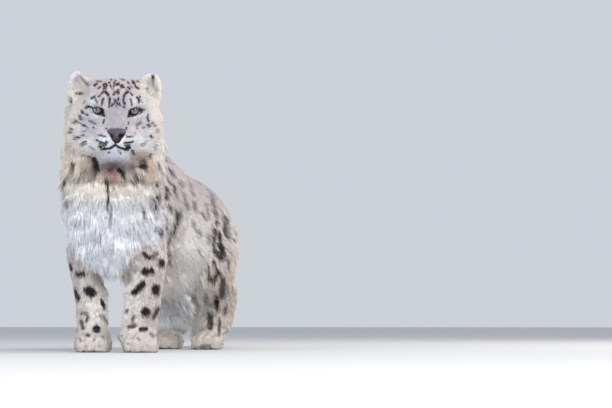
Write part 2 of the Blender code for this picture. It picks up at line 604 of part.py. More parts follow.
class Coat:
    """The long locks on a core, drawn with one seeded run of random numbers."""

    def __init__(self, core, frame, cuts):
        bm = bmesh.new()
        bm.from_mesh(core.data)
        self.surface = BVHTree.FromBMesh(bm)
        bm.free()
        self.to_head = frame.inverted()
        self.cuts = cuts
        self.draw = random.Random(LOCK_SEED)
        self.locks = []

    def lock(self, root, lie, length, width, lift, curl):
        """A flat, tapered, curling lock that follows the core from its sunk root, lifts towards its tip and
        hangs free where the core falls away below it."""
        bm = bmesh.new()
        point, normal = Vector(root), None
        rings = []
        walked = 0.0
        for share, wide, thick, rise in LOCK_SHAPE:
            point = point + lie * (share * length - walked)
            walked = share * length
            near, near_normal, _, distance = self.surface.find_nearest(point)
            if normal is None or distance < OVERHANG:
                point, normal = near, near_normal
            lie = Matrix.Rotation(curl, 3, normal) @ (lie - normal * normal.dot(lie)).normalized()
            side = lie.cross(normal)
            centre = point + normal * (rise * lift if rise > 0 else rise * LOCK_THICKNESS)
            if wide == 0:
                tip = bm.verts.new(centre)
                for edge in rings[-1]:
                    bm.faces.new((*edge.verts, tip))
                break
            made = bmesh.ops.create_circle(bm, segments=3, radius=1.0)["verts"]
            for vert, (x, y) in zip(made, LOCK_SECTION):
                vert.co = centre + side * (x * wide * width) + normal * (y * thick * LOCK_THICKNESS)
            rings.append(ring_edges(made))
        for first, second in zip(rings, rings[1:]):
            bmesh.ops.bridge_loops(bm, edges=first + second)
        bmesh.ops.contextual_create(bm, geom=rings[0])
        self.locks.append(object_from("lock", bm))

    def grow(self, origin, target, lie, size):
        """A lock where the line from origin to target meets the core, if the coat is long there."""
        origin, target = Vector(origin), Vector(target)
        point, normal, _, _ = self.surface.ray_cast(origin, (target - origin).normalized())
        if point is None or lock_depth(point, self.to_head) < LEAST_DEPTH * BIB_DEPTH:
            return
        lie = Vector(lie)
        lie = (lie - normal * normal.dot(lie)).normalized()
        lie = Matrix.Rotation(self.draw.uniform(-LOCK_SWAY, LOCK_SWAY), 3, normal) @ lie
        length = size[0] * self.draw.uniform(0.82, 1.18)
        lift = BIB_DEPTH * self.draw.uniform(0.75, 1.15)
        if crosses_cut(point, point + lie * length, self.cuts):
            lift = FLAT_LIFT
        width = size[1] * self.draw.uniform(0.85, 1.15)
        self.lock(point, lie, length, width, lift, self.draw.uniform(-LOCK_CURL, LOCK_CURL))

    def add_bib(self):
        """Rows of hanging locks on the bib, the ruff and the sides of the neck."""
        for row, (height, count, widest) in enumerate(BIB_ROWS):
            for i in range(count):
                share = (i + 0.5 * (row % 2)) / (count - 0.5)
                turn = math.radians(widest * (2 * share - 1) + self.draw.uniform(-3, 3))
                level = height + self.draw.uniform(-0.008, 0.008)
                away = Vector((math.sin(turn), -math.cos(turn), 0))
                pivot = Vector((0, BIB_PIVOT_Y, level))
                self.grow(pivot + away * 0.5, pivot, (0.25 * math.sin(turn), 0.1 * abs(turn), -1), BIB_LOCK)

    def add_belly(self):
        """The fringe below the belly, lying back and down."""
        for row, lean in enumerate(BELLY_LEANS):
            for i in range(BELLY_COUNT):
                y = BELLY_START + BELLY_STEP * (i + 0.5 * (row % 2)) + self.draw.uniform(-0.006, 0.006)
                turn = math.radians(lean)
                away = Vector((math.sin(turn), 0, -math.cos(turn)))
                pivot = Vector((0, y, BELLY_PIVOT_Z))
                self.grow(pivot + away * 0.5, pivot, (0.15 * math.sin(turn), 0.8, -0.7), BELLY_LOCK)

    def add_breeches(self):
        """Hanging locks behind the thighs."""
        for side in (-1, 1):
            for height in BREECH_HEIGHTS:
                for x in BREECH_PLACES:
                    x += self.draw.uniform(-0.006, 0.006)
                    self.grow((side * x, 0.735, height), (side * x, 0.5, height), (0, 0.25, -1), BREECH_LOCK)

    def add_tail(self):
        """Rings of locks that lie towards the tail's tip, none of them where it lies on the floor."""
        path = [Vector(row[:3]) for row in TAIL_ROWS]
        steps = [(second - first).length for first, second in zip(path, path[1:])]
        for ring in range(TAIL_RINGS):
            want = sum(steps) * (TAIL_START + TAIL_REACH * ring / (TAIL_RINGS - 1))
            for first, second, size in zip(path, path[1:], steps):
                if want <= size:
                    break
                want -= size
            centre = first.lerp(second, want / size)
            along = (second - first).normalized()
            side = along.cross(Z_AXIS).normalized()
            up = side.cross(along)
            for i in range(TAIL_RING_LOCKS):
                turn = 2 * math.pi * (i + 0.5 * (ring % 2)) / TAIL_RING_LOCKS + self.draw.uniform(-0.15, 0.15)
                away = side * math.sin(turn) + up * math.cos(turn)
                if centre.z > 0.09 or away.z > -0.75:
                    self.grow(centre + away * 0.2, centre, along, TAIL_LOCK)


def islands(obj):
    """The object's separate bodies, each as (volume, bmesh)."""
    bm = bmesh.new()
    bm.from_mesh(obj.data)
    bpy.data.objects.remove(obj, do_unlink=True)
    left = set(bm.verts)
    bodies = []
    while left:
        start = left.pop()
        group, queue = {start}, [start]
        while queue:
            for edge in queue.pop().link_edges:
                for vert in edge.verts:
                    if vert in left:
                        left.discard(vert)
                        group.add(vert)
                        queue.append(vert)
        numbers = {vert.index for vert in group}
        piece = bm.copy()
        bmesh.ops.delete(piece, geom=[vert for vert in piece.verts if vert.index not in numbers], context="VERTS")
        bodies.append((piece.calc_volume(signed=True), piece))
    bm.free()
    return bodies


def middle_of(verts):
    low = Vector([min(vert.co[i] for vert in verts) for i in range(3)])
    high = Vector([max(vert.co[i] for vert in verts) for i in range(3)])
    return (low + high) / 2


def name_bodies(bodies, frame):
    """Each body, from the largest down, takes the nearest seed's name, and loose scraps are dropped."""
    seeds = {name: Vector(point) for name, point in SEEDS.items()}
    seeds["head"] = frame @ Vector(HEAD_SEED)
    for side, name in ((-1, "ear_right"), (1, "ear_left")):
        seeds[name] = frame @ (Vector(ear_centre(side)) + Vector((side * 0.006, 0, 0.02)))
    for volume, bm in sorted(bodies, key=lambda body: -body[0]):
        if volume > SMALLEST_BODY and seeds:
            middle = middle_of(bm.verts)
            name = min(seeds, key=lambda key: (seeds[key] - middle).length)
            del seeds[name]
            object_from(name, bm)
        else:
            bm.free()


def finish_objects():
    """Moves the animal so that the origin is below its middle, and gives each node its own material."""
    objects = list(bpy.data.objects)
    corners = [vert.co for obj in objects for vert in obj.data.vertices]
    low = Vector([min(corner[i] for corner in corners) for i in range(3)])
    high = Vector([max(corner[i] for corner in corners) for i in range(3)])
    shift = Vector((-(low.x + high.x) / 2, -(low.y + high.y) / 2, -low.z))
    collection = bpy.data.collections.new("snow_leopard")
    bpy.context.scene.collection.children.link(collection)
    for obj in objects:
        obj.data.transform(Matrix.Translation(shift))
        bpy.context.scene.collection.objects.unlink(obj)
        collection.objects.link(obj)
        material = bpy.data.materials.new(obj.name)
        material.use_nodes = True
        shader = material.node_tree.nodes["Principled BSDF"]
        shader.inputs["Base Color"].default_value = (*COLOURS.get(obj.name, FUR), 1.0)
        shader.inputs["Roughness"].default_value = ROUGHNESS.get(obj.name, FUR_ROUGHNESS)
        shader.inputs["Metallic"].default_value = 0.0
        obj.data.materials.clear()
        obj.data.materials.append(material)


def build():
    clear_scene()
    bm = bmesh.new()
    frame = head_frame()
    add_trunk(bm)
    for side in (-1, 1):
        add_foreleg(bm, side)
        add_hind_leg(bm, side)
    add_tail(bm)
    add_head(bm, frame)
    core = fused("core", bm, frame)
    cuts = cut_plates(frame)
    coat = Coat(core, frame, cuts)
    coat.add_bib()
    coat.add_belly()
    coat.add_breeches()
    coat.add_tail()
    combine(core, coat.locks, "UNION")
    width, length, depth = FLOOR_SIZE
    combine(core, [box("floor", place(0, length / 4, -depth / 2), FLOOR_SIZE)], "DIFFERENCE")
    face_details(core, frame)
    plates = [box("plate", place_of, (long_side, short_side, GAP)) for place_of, long_side, short_side in cuts]
    combine(core, plates, "DIFFERENCE")
    name_bodies(islands(core), frame)
    make_eyes(frame)
    make_nose(frame)
    finish_objects()


build()
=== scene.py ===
"""Snow leopard in winter coat, standing on four feet with its head turned to its left: a still, life-size model."""

import math

import bmesh
import bpy
import numpy as np
from mathutils import Matrix, Vector
from mathutils.bvhtree import BVHTree
from mathutils.kdtree import KDTree


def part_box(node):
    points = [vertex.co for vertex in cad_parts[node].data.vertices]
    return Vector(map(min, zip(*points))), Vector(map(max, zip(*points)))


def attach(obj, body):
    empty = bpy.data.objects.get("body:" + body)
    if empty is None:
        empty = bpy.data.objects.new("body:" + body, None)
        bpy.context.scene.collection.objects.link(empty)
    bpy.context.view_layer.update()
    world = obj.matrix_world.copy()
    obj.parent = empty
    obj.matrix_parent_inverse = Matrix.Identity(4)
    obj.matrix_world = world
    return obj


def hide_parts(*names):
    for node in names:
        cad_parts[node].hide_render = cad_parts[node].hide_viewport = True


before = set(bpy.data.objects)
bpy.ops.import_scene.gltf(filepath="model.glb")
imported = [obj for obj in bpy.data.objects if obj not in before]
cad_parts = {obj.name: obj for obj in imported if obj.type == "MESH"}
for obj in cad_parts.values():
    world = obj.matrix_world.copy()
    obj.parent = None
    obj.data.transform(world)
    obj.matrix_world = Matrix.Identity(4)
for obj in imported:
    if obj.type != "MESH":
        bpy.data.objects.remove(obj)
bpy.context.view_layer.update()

# --- Camera -------------------------------------------------------------------------------------------------------
# A long lens at knee height, 4.5 m in front of the forefeet and 22 degrees to the animal's left.
# It stands a little low, so that the head is seen slightly from below.
CAMERA_PLACE = np.array((1.71373, -4.73973, 0.07))
CAMERA_TILT = math.radians(93.92918)
CAMERA_TURN = math.radians(15.69206)
FOCAL_PIXELS = 1755.0
VIEW_SIZE = (612, 408)

eye_point = bpy.data.cameras.new("camera")
eye_point.sensor_width = 36
eye_point.lens = 36 * FOCAL_PIXELS / VIEW_SIZE[0]
camera = bpy.data.objects.new("camera", eye_point)
camera.location = CAMERA_PLACE
camera.rotation_euler = (CAMERA_TILT, 0, CAMERA_TURN)
bpy.context.scene.collection.objects.link(camera)
bpy.context.scene.camera = camera
bpy.context.scene.view_settings.view_transform = "Standard"
camera_axes = np.array(camera.rotation_euler.to_matrix())


def seen_at(points):
    """Where points lie in the view, in its pixels."""
    local = (points - CAMERA_PLACE) @ camera_axes
    return np.stack(
        (
            VIEW_SIZE[0] / 2 - FOCAL_PIXELS * local[:, 0] / local[:, 2],
            VIEW_SIZE[1] / 2 + FOCAL_PIXELS * local[:, 1] / local[:, 2],
        ),
        axis=1,
    )


# --- Skin ---------------------------------------------------------------------------------------------------------
# One hide over the whole animal, from the lips to the tip of the tail, under the coat by the coat's own depth.
# It is the solids of flesh made one, taken inwards until their long locks are gone, with a finer head let in.
FINE = ["head", "ear_left", "ear_right", "fore_paw_left", "fore_paw_right", "hind_paw_left", "hind_paw_right"]
FLESH = [name for name in sorted(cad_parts) if name not in ("nose", "eye_left", "eye_right")]
ORIGIN = np.array((0.0280, -0.5674, 0.0))  # the point of the floor below the withers
HEAD_TURN = math.radians(23.5)
HEAD_MID = 0.008
NOSE_POINT = np.array((0.0, 0.188, 0.532))
CUT_SWELL = 0.0006
COAT_DEPTH = 0.006
SKIN_TRIANGLES = 168000


def smooth(value, low, high):
    """0 below low, 1 above high, and a soft step between."""
    share = np.clip((value - low) / (high - low), 0, 1)
    return share * share * (3 - 2 * share)


def to_head(points):
    """From the frame to the head's own axes: to its left, forward and up."""
    c, s = math.cos(HEAD_TURN), math.sin(HEAD_TURN)
    local = points - ORIGIN
    x, y = local[:, 0] * c + local[:, 1] * s, -local[:, 0] * s + local[:, 1] * c
    return np.stack((x - HEAD_MID, -y, local[:, 2]), axis=1)


def from_head(points, direction=False):
    c, s = math.cos(HEAD_TURN), math.sin(HEAD_TURN)
    points = np.asarray(points, float).reshape(-1, 3)
    x, y = points[:, 0] + (0 if direction else HEAD_MID), -points[:, 1]
    turned = np.stack((x * c - y * s, x * s + y * c, points[:, 2]), axis=1)
    return turned if direction else turned + ORIGIN


def scene_object(name, data):
    obj = bpy.data.objects.new(name, data)
    bpy.context.scene.collection.objects.link(obj)
    return obj


def positions(mesh):
    values = np.empty(len(mesh.vertices) * 3, np.float32)
    mesh.vertices.foreach_get("co", values)
    return values.reshape(-1, 3).astype(float)


def normals_of(mesh):
    values = np.empty(len(mesh.vertices) * 3, np.float32)
    mesh.vertex_normals.foreach_get("vector", values)
    return values.reshape(-1, 3).astype(float)


def move_to(mesh, points):
    mesh.vertices.foreach_set("co", points.astype(np.float32).ravel())
    mesh.update()


def baked(obj, name):
    """The object's mesh with its modifiers applied, as a new object."""
    graph = bpy.context.evaluated_depsgraph_get()
    return scene_object(name, bpy.data.meshes.new_from_object(obj.evaluated_get(graph)))


def drop(*objs):
    for obj in objs:
        bpy.data.objects.remove(obj, do_unlink=True)


def merged_copy(names, name, swell):
    """The named solids as one mesh, each swollen a little so that the cuts between them close."""
    whole = bmesh.new()
    for node in names:
        piece = bmesh.new()
        piece.from_mesh(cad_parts[node].data)
        bmesh.ops.remove_doubles(piece, verts=piece.verts, dist=1e-5)
        piece.normal_update()
        moved = [vert.co + vert.normal * swell for vert in piece.verts]
        for vert, point in zip(piece.verts, moved):
            vert.co = point
        mesh = bpy.data.meshes.new(name)
        piece.to_mesh(mesh)
        piece.free()
        whole.from_mesh(mesh)
    mesh = bpy.data.meshes.new(name)
    whole.to_mesh(mesh)
    whole.free()
    return scene_object(name, mesh)


def remeshed(obj, name, cell, rounds, share=1.0):
    """A new object with even faces, smoothed, and with only a share of them kept."""
    even = obj.modifiers.new("even", "REMESH")
    even.mode = "VOXEL"
    even.voxel_size = cell
    if rounds:
        soft = obj.modifiers.new("soft", "SMOOTH")
        soft.factor = 0.5
        soft.iterations = rounds
    if share < 1:
        fewer = obj.modifiers.new("fewer", "DECIMATE")
        fewer.ratio = share
    made = baked(obj, name)
    drop(obj)
    return made


def taken_in(obj, name, depth):
    """The surface at a depth inside the object, without the forms that are thinner than twice the depth."""
    fog = scene_object("fog", bpy.data.volumes.new("fog"))
    fill = fog.modifiers.new("fill", "MESH_TO_VOLUME")
    fill.object = obj
    fill.resolution_mode = "VOXEL_SIZE"
    fill.voxel_size = 0.003
    fill.interior_band_width = 0.015
    fill.density = 1
    shell = scene_object("shell", bpy.data.meshes.new("shell"))
    out = shell.modifiers.new("out", "VOLUME_TO_MESH")
    out.object = fog
    out.threshold = depth / 0.015
    out.adaptivity = 0
    made = baked(shell, name)
    drop(shell, fog, obj)
    return made


core = taken_in(remeshed(merged_copy(FLESH, "core", CUT_SWELL), "core", 0.0035, 0), "core", COAT_DEPTH)
head = remeshed(merged_copy(FINE, "head", CUT_SWELL), "head", 0.0022, 7)
head_points = positions(head.data)
local = to_head(head_points)
from_nose = np.linalg.norm(local - NOSE_POINT, axis=1)
head_depth = 0.0018 + 0.0017 * smooth(from_nose, 0.09, 0.19)
head_depth[local[:, 2] > 0.668] = 0.0008
paws = local[:, 2] < 0.2
head_depth[paws] = (0.0022 + 0.0036 * smooth(local[:, 2], 0.038, 0.072))[paws]
moved = head_points - normals_of(head.data) * head_depth[:, None]
local = to_head(moved)
on_ear = smooth(local[:, 2], 0.660, 0.700) * smooth(np.abs(local[:, 0]), 0.066, 0.080)
outwards = smooth((np.abs(local[:, 0]) - 0.094) / 0.026, -0.9, 0.8)
root_of_ear = np.exp(-(((local[:, 2] - 0.650) / 0.020) ** 2)) * smooth(np.abs(local[:, 0]), 0.070, 0.092)
local[:, 0] += np.sign(local[:, 0]) * (on_ear * (0.004 * outwards + 0.009 * (1 - outwards)) + 0.003 * root_of_ear)
local[:, 2] -= on_ear * np.where(local[:, 0] > 0, 0.006, 0.003) * smooth(local[:, 2], 0.67, 0.71)
move_to(head.data, from_head(local))
both = bmesh.new()
both.from_mesh(core.data)
both.from_mesh(head.data)
mesh = bpy.data.meshes.new("skin")
both.to_mesh(mesh)
both.free()
drop(core, head)
blank = remeshed(scene_object("blank", mesh), "blank", 0.0026, 3)
faces = len(blank.data.polygons) * 2
fewer = blank.modifiers.new("fewer", "DECIMATE")
fewer.ratio = min(1.0, SKIN_TRIANGLES / faces)
skin = baked(blank, "skin")
drop(blank)
VIEW_SHIFTS = [  # middle and reach in the view, how far the form moves right and down, and how far back it does
    (117, 124, 26, 26, -1.6, -1.3, -0.06), (69, 130, 12, 30, -7.5, 0.0, -0.06), (92, 84, 8, 7, -1.0, -5.0, -0.06),
    (140, 85, 8, 7, 0.5, -4.0, -0.06), (157, 102, 5, 9, 2.0, 0.0, -0.06), (74, 108, 7, 7, -5.0, 0.0, -0.14),
    (115, 79, 12, 5, 0.0, 0.8, -0.06), (168, 142, 7, 10, 2.5, 0.0, -0.06), (114, 168, 15, 7, 0.0, -4.0, -0.06),
    (65, 112, 8, 9, 4.0, 0.0, -0.14), (163, 111, 8, 8, -3.0, 0.0, -0.14),
]


def shifted(points):
    """The head's points, moved in the plane of the view."""
    spots, local = seen_at(points), to_head(points)
    raised = smooth(local[:, 2], 0.44, 0.47) / 405
    moved = points.copy()
    for x, y, wide, tall, right, down, back in VIEW_SHIFTS:
        near = raised * smooth(local[:, 1], back, back + 0.065) * np.exp(-((spots[:, 0] - x) ** 2) / wide**2 - (spots[:, 1] - y) ** 2 / tall**2)
        moved += near[:, None] * (right * camera_axes[:, 0] - down * camera_axes[:, 1])
    return moved


move_to(skin.data, shifted(positions(skin.data)))

# The lids: round each eye the hide follows the eyeball, and inside the opening it passes behind it.
EYE_SPOTS = {-1: (96.9, 110.4), 1: (134.4, 111.4)}
EYE_PLACE = np.array((0.0463, 0.1065, 0.6000))
EYE_RADIUS = 0.0168
LID_RADIUS = 0.0174
OPENINGS = {  # in the view: along the upper lid to the inner corner, and back under the eye
    -1: [(92.0, 108.7), (95.2, 108.1), (99.2, 108.3), (101.6, 110.1), (102.8, 113.8), (99.6, 113.9), (96.4, 113.0), (93.6, 111.2)],
    1: [(140.2, 109.8), (137.4, 109.0), (133.4, 109.1), (130.6, 110.5), (129.0, 114.6), (131.6, 115.1), (135.0, 114.5), (138.2, 112.6)],
}
RELIEF = [  # middle and reach in the view, millimetres outwards: pads, bridge, brows, cheeks, chin and throat
    (104, 140.5, 8, 6.5, 4.5), (127.5, 140.5, 8, 6.5, 4.5), (103.5, 119, 3, 8, -4.0), (129, 119.5, 3, 8, -4.0),
    (104, 113, 3, 4, -2.5), (128.5, 113.5, 3, 4, -2.5), (105, 153, 6, 2, -2.5), (125, 153, 6, 2, -2.5),
    (114.5, 158, 9, 5, 4.0), (97, 157, 5, 5, -4.0), (132, 157, 5, 5, -4.0), (112, 169, 14, 5, -10.0),
    (84, 174, 9, 8, 3.0), (141, 174, 11, 8, 9.0),
    (94, 102, 7, 3.5, 3.5), (137, 102, 7, 3.5, 3.5), (105, 103, 4, 4, 2.0), (126, 103, 4, 4, 2.0),
    (91, 121, 7, 4, -2.0), (138, 123, 7, 4, -2.0), (76, 138, 9, 16, 5.0), (152, 138, 9, 16, 5.0),
    (116, 116, 7, 14, 1.5), (91, 85, 6, 6, 8.0), (140, 86, 6, 6, 8.0), (94, 138, 3, 8, -2.5), (138.5, 138, 3, 8, -2.5),
]


def eye_axes(side):
    """An eye's centre, and its axes: outwards in the view, up and towards the viewer."""
    centre = from_head(EYE_PLACE * (side, 1, 1))[0]
    shift = (np.array(EYE_SPOTS[side]) - seen_at(centre[None])[0]) / 405
    centre = centre + shift[0] * camera_axes[:, 0] - shift[1] * camera_axes[:, 1]
    gaze = CAMERA_PLACE - centre
    gaze /= np.linalg.norm(gaze)
    across = np.cross((0, 0, 1), gaze)
    across /= np.linalg.norm(across)
    return centre, across * side, np.cross(gaze, across), gaze


def outside_by(points, outline):
    """Signed distance of flat points to a closed outline, positive outside, and the nearest point of it."""
    best = np.full(len(points), 1e9)
    near = np.zeros_like(points)
    inside = np.zeros(len(points), bool)
    for first, last in zip(outline, np.roll(outline, -1, axis=0)):
        along = last - first
        share = np.clip(((points - first) @ along) / (along @ along), 0, 1)
        foot = first + share[:, None] * along
        gap = np.linalg.norm(points - foot, axis=1)
        closer = gap < best
        best[closer], near[closer] = gap[closer], foot[closer]
        crosses = (first[1] > points[:, 1]) != (last[1] > points[:, 1])
        level = np.where(crosses, (points[:, 1] - first[1]) / (along[1] if along[1] else 1e-12), 0)
        inside ^= crosses & (points[:, 0] < first[0] + level * along[0])
    return np.where(inside, -best, best), near


def rounded(outline, rounds=2):
    """A closed outline with its corners cut, for a curve of short steps."""
    for _ in range(rounds):
        following = np.roll(outline, -1, axis=0)
        outline = np.stack((0.75 * outline + 0.25 * following, 0.25 * outline + 0.75 * following), axis=1).reshape(-1, 2)
    return outline


def opening_of(side):
    """The edge of an eye's lids in the eye's own plane, in metres outwards and up."""
    spots = (np.array(OPENINGS[side]) - EYE_SPOTS[side]) * (side, -1) / 405
    return rounded(spots)


MOUTH_LINES = [  # in the view: the split under the nose, then the lips to each corner
    np.array([(115.7, 141.5), (115.5, 144.6)]),
    np.array([(115.5, 144.8), (112.6, 146.9), (109.4, 148.6), (105.0, 149.8), (101.0, 149.9)]),
    np.array([(115.5, 144.8), (118.0, 146.6), (120.8, 148.4), (125.0, 150.1), (129.2, 150.0)]),
]


def line_gap(spots, line):
    """Distance of flat points to an open line."""
    gap = np.full(len(spots), 1e9)
    for first, last in zip(line, line[1:]):
        along = last - first
        share = np.clip((spots - first) @ along / (along @ along), 0, 1)
        gap = np.minimum(gap, np.linalg.norm(spots - first - share[:, None] * along, axis=1))
    return gap


def made_finer(obj, wanted, cuts):
    """Splits the faces whose corners are all wanted."""
    mesh = bmesh.new()
    mesh.from_mesh(obj.data)
    mesh.edges.ensure_lookup_table()
    chosen = [edge for edge in mesh.edges if wanted[edge.verts[0].index] and wanted[edge.verts[1].index]]
    bmesh.ops.subdivide_edges(mesh, edges=chosen, cuts=cuts, use_grid_fill=True)
    bmesh.ops.triangulate(mesh, faces=mesh.faces)
    mesh.to_mesh(obj.data)
    mesh.free()


points = positions(skin.data)
around = np.zeros(len(points), bool)
for side in (-1, 1):
    centre, across, up, gaze = eye_axes(side)
    around |= (np.linalg.norm(points - centre, axis=1) < 0.025) & ((points - centre) @ gaze > -0.002)
made_finer(skin, around, 2)
points = positions(skin.data)
local = to_head(points)
around = (np.linalg.norm((local - (0, 0.175, 0.508)) / (0.052, 0.040, 0.022), axis=1) < 1) & (local[:, 1] > 0.14)
made_finer(skin, around, 1)
points = positions(skin.data)
spots, facing = seen_at(points), normals_of(skin.data)
towards = CAMERA_PLACE - points
towards /= np.linalg.norm(towards, axis=1, keepdims=True)
fronts = smooth((towards * facing).sum(axis=1), -0.1, 0.2) * smooth(points[:, 2], 0.44, 0.46)
raised = np.zeros(len(points))
for x, y, wide, tall, height in RELIEF:
    raised += 0.001 * height * np.exp(-((spots[:, 0] - x) ** 2) / wide**2 - (spots[:, 1] - y) ** 2 / tall**2)
points = points + facing * (raised * fronts)[:, None]
move_to(skin.data, points)
for node in FINE[3:]:  # slits between the four toes
    low_corner, high_corner = (np.array(corner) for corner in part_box(node))
    middle, reach = (low_corner + high_corner) / 2, (high_corner - low_corner) / 2
    here = ((points > low_corner - 0.004) & (points < high_corner + 0.004)).all(axis=1)
    ahead = smooth((middle[1] - points[:, 1]) / reach[1], 0.05, 0.7) * smooth(0.075 - points[:, 2], 0.0, 0.02)
    slit = sum(np.exp(-(((points[:, 0] - middle[0]) / reach[0] - place) / 0.10) ** 2) for place in (-0.46, 0.02, 0.48))
    slits = 0.0042 * slit * ahead * here
    points = points - normals_of(skin.data) * slits[:, None]
    move_to(skin.data, points)
points = positions(skin.data)
lips = (to_head(points)[:, 1] > 0.13) & (normals_of(skin.data)[:, 1] < 0.2)
spots = seen_at(points)
groove = np.zeros(len(points))
for line, deep in zip(MOUTH_LINES, (0.0012, 0.0026, 0.0026)):
    groove = np.maximum(groove, deep * np.exp(-((line_gap(spots, line) / 0.9) ** 2)))
points -= normals_of(skin.data) * (groove * lips)[:, None]
near_eye = np.zeros(len(points))
for side in (-1, 1):
    centre, across, up, gaze = eye_axes(side)
    offset = points - centre
    flat = np.stack((offset @ across, offset @ up), axis=1)
    depth = offset @ gaze
    radius = np.linalg.norm(flat, axis=1)
    zone = np.flatnonzero((radius < 0.026) & (depth > -0.004))
    away, foot = outside_by(flat[zone], opening_of(side))
    edge = np.abs(away) < 0.0009
    flat[zone[edge]] = foot[edge]
    away[edge] = 0
    ball = np.sqrt(np.maximum(LID_RADIUS**2 - (flat[zone] ** 2).sum(axis=1), 0.003**2))
    hold = 1 - smooth(away, 0.001, 0.007)
    outer = depth[zone] * (1 - hold) + ball * hold
    inner = np.sqrt(np.maximum(0.0130**2 - (flat[zone] ** 2).sum(axis=1), 0))
    depth[zone] = np.where(away < -1e-5, inner, np.maximum(outer, depth[zone] * (1 - hold)))
    points[zone] = centre + flat[zone, :1] * across + flat[zone, 1:] * up + depth[zone, None] * gaze
    near_eye[zone] = np.maximum(near_eye[zone], 1 - smooth(away, 0.0, 0.0012))
stride = (1 - smooth(points[:, 2], 0.10, 0.30)) * smooth(-points[:, 1], 0.30, 0.38)
points += 0.012 * stride[:, None] * camera_axes[:, 0]  # the forelegs stand a little towards the animal's left
move_to(skin.data, points)
skin.data.shade_smooth()
skin_normals = normals_of(skin.data)
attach(skin, "root")
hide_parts(*FLESH)

# --- Lie, length and colour of the coat ------------------------------------------------------------------------------
# Snow leopard fur: short on the face and feet, deep on the neck, bib, belly and tail, smoky grey above and
# white below. It grows out of the hide from the nose backwards, down the chest and legs, and along the tail.
TAIL_PATH = np.array(
    [
        (0.000, 0.660, 0.350),
        (-0.002, 0.715, 0.320),
        (-0.006, 0.758, 0.265),
        (-0.014, 0.790, 0.200),
        (-0.028, 0.828, 0.140),
        (-0.046, 0.880, 0.094),
        (-0.068, 0.950, 0.066),
        (-0.094, 1.030, 0.060),
        (-0.122, 1.110, 0.068),
        (-0.148, 1.180, 0.088),
        (-0.168, 1.235, 0.114),
        (-0.188, 1.282, 0.143),
    ]
)
COAT = {  # length, width, lift in degrees, tufts for each square centimetre
    "head": (0.012, 0.0016, 14, 42),
    "ear": (0.008, 0.0010, 14, 120),
    "neck": (0.030, 0.0019, 12, 30),
    "chest": (0.030, 0.0019, 12, 30),
    "torso": (0.030, 0.0020, 11, 20),
    "rump": (0.032, 0.0021, 12, 20),
    "foreleg": (0.018, 0.0016, 11, 32),
    "fore_paw": (0.009, 0.0012, 11, 70),
    "hind_leg": (0.026, 0.0019, 12, 22),
    "hind_paw": (0.009, 0.0012, 11, 70),
    "tail": (0.040, 0.0023, 17, 16),
}
BIB_COAT = (0.044, 0.0017, 11, 42)


def tone(red, green, blue):
    """A screen colour, 0 to 255, as light."""
    value = np.array((red, green, blue)) / 255
    return np.where(value > 0.04045, ((value + 0.055) / 1.055) ** 2.4, value / 12.92)


BACK_GREY, FLANK_GREY = tone(188, 179, 183), tone(216, 208, 203)
CREAM, WHITE, SNOW = tone(238, 228, 215), tone(240, 235, 229), tone(242, 245, 251)
TAN, FACE_GREY, BRIDGE_GREY = tone(217, 206, 198), tone(204, 199, 202), tone(184, 180, 189)
PAW_TONE, PALE_FACE, CHEEK_TONE = tone(222, 213, 205), tone(226, 227, 234), tone(230, 220, 210)

random = np.random.default_rng(41)
skin_mesh = skin.data
skin_mesh.calc_loop_triangles()
triangles = np.empty(len(skin_mesh.loop_triangles) * 3, np.int32)
skin_mesh.loop_triangles.foreach_get("vertices", triangles)
triangles = triangles.reshape(-1, 3)
edges = np.empty(len(skin_mesh.edges) * 2, np.int32)
skin_mesh.edges.foreach_get("vertices", edges)
edges = edges.reshape(-1, 2)
valence = np.bincount(edges.ravel(), minlength=len(points)).astype(float)


def spread(field, rounds):
    """Blends a value of the skin's points with their neighbours', so that one part's coat runs into the next."""
    field = field.reshape(len(points), -1).copy()
    for _ in range(rounds):
        for column in range(field.shape[1]):
            values = field[:, column]
            total = np.bincount(edges[:, 0], values[edges[:, 1]], len(points))
            total += np.bincount(edges[:, 1], values[edges[:, 0]], len(points))
            field[:, column] = 0.5 * values + 0.5 * total / valence
    return field.squeeze()


def unit(vectors):
    return vectors / np.maximum(np.linalg.norm(vectors, axis=1, keepdims=True), 1e-9)


def part_of_points(targets):
    """For each point, the number in FLESH of the solid that it belongs to."""
    samples, owners = [], []
    for number, node in enumerate(FLESH):
        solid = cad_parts[node].data
        corners = positions(solid).reshape(-1, 3)
        loose = np.empty(len(solid.polygons) * 3, np.int32)
        solid.polygons.foreach_get("vertices", loose)
        corners = corners[loose.reshape(-1, 3)]
        area = np.linalg.norm(np.cross(corners[:, 1] - corners[:, 0], corners[:, 2] - corners[:, 0]), axis=1)
        picked = random.choice(len(area), int(area.sum() / 0.00010) + 300, p=area / area.sum())
        share = random.dirichlet((1, 1, 1), len(picked))
        samples.append((corners[picked] * share[:, :, None]).sum(axis=1))
        owners.append(np.full(len(picked), number))
    samples, owners = np.concatenate(samples), np.concatenate(owners)
    tree = KDTree(len(samples))
    for index, sample in enumerate(samples):
        tree.insert(sample, index)
    tree.balance()
    return np.array([owners[tree.find(target)[1]] for target in targets])


part = part_of_points(points)
kind = np.array([name.replace("_left", "").replace("_right", "").replace("_base", "").replace("_middle", "").replace("_tip", "") for name in FLESH])[part]
base = points - ORIGIN
in_head = to_head(points)
on_head = (kind == "head") | (kind == "ear")


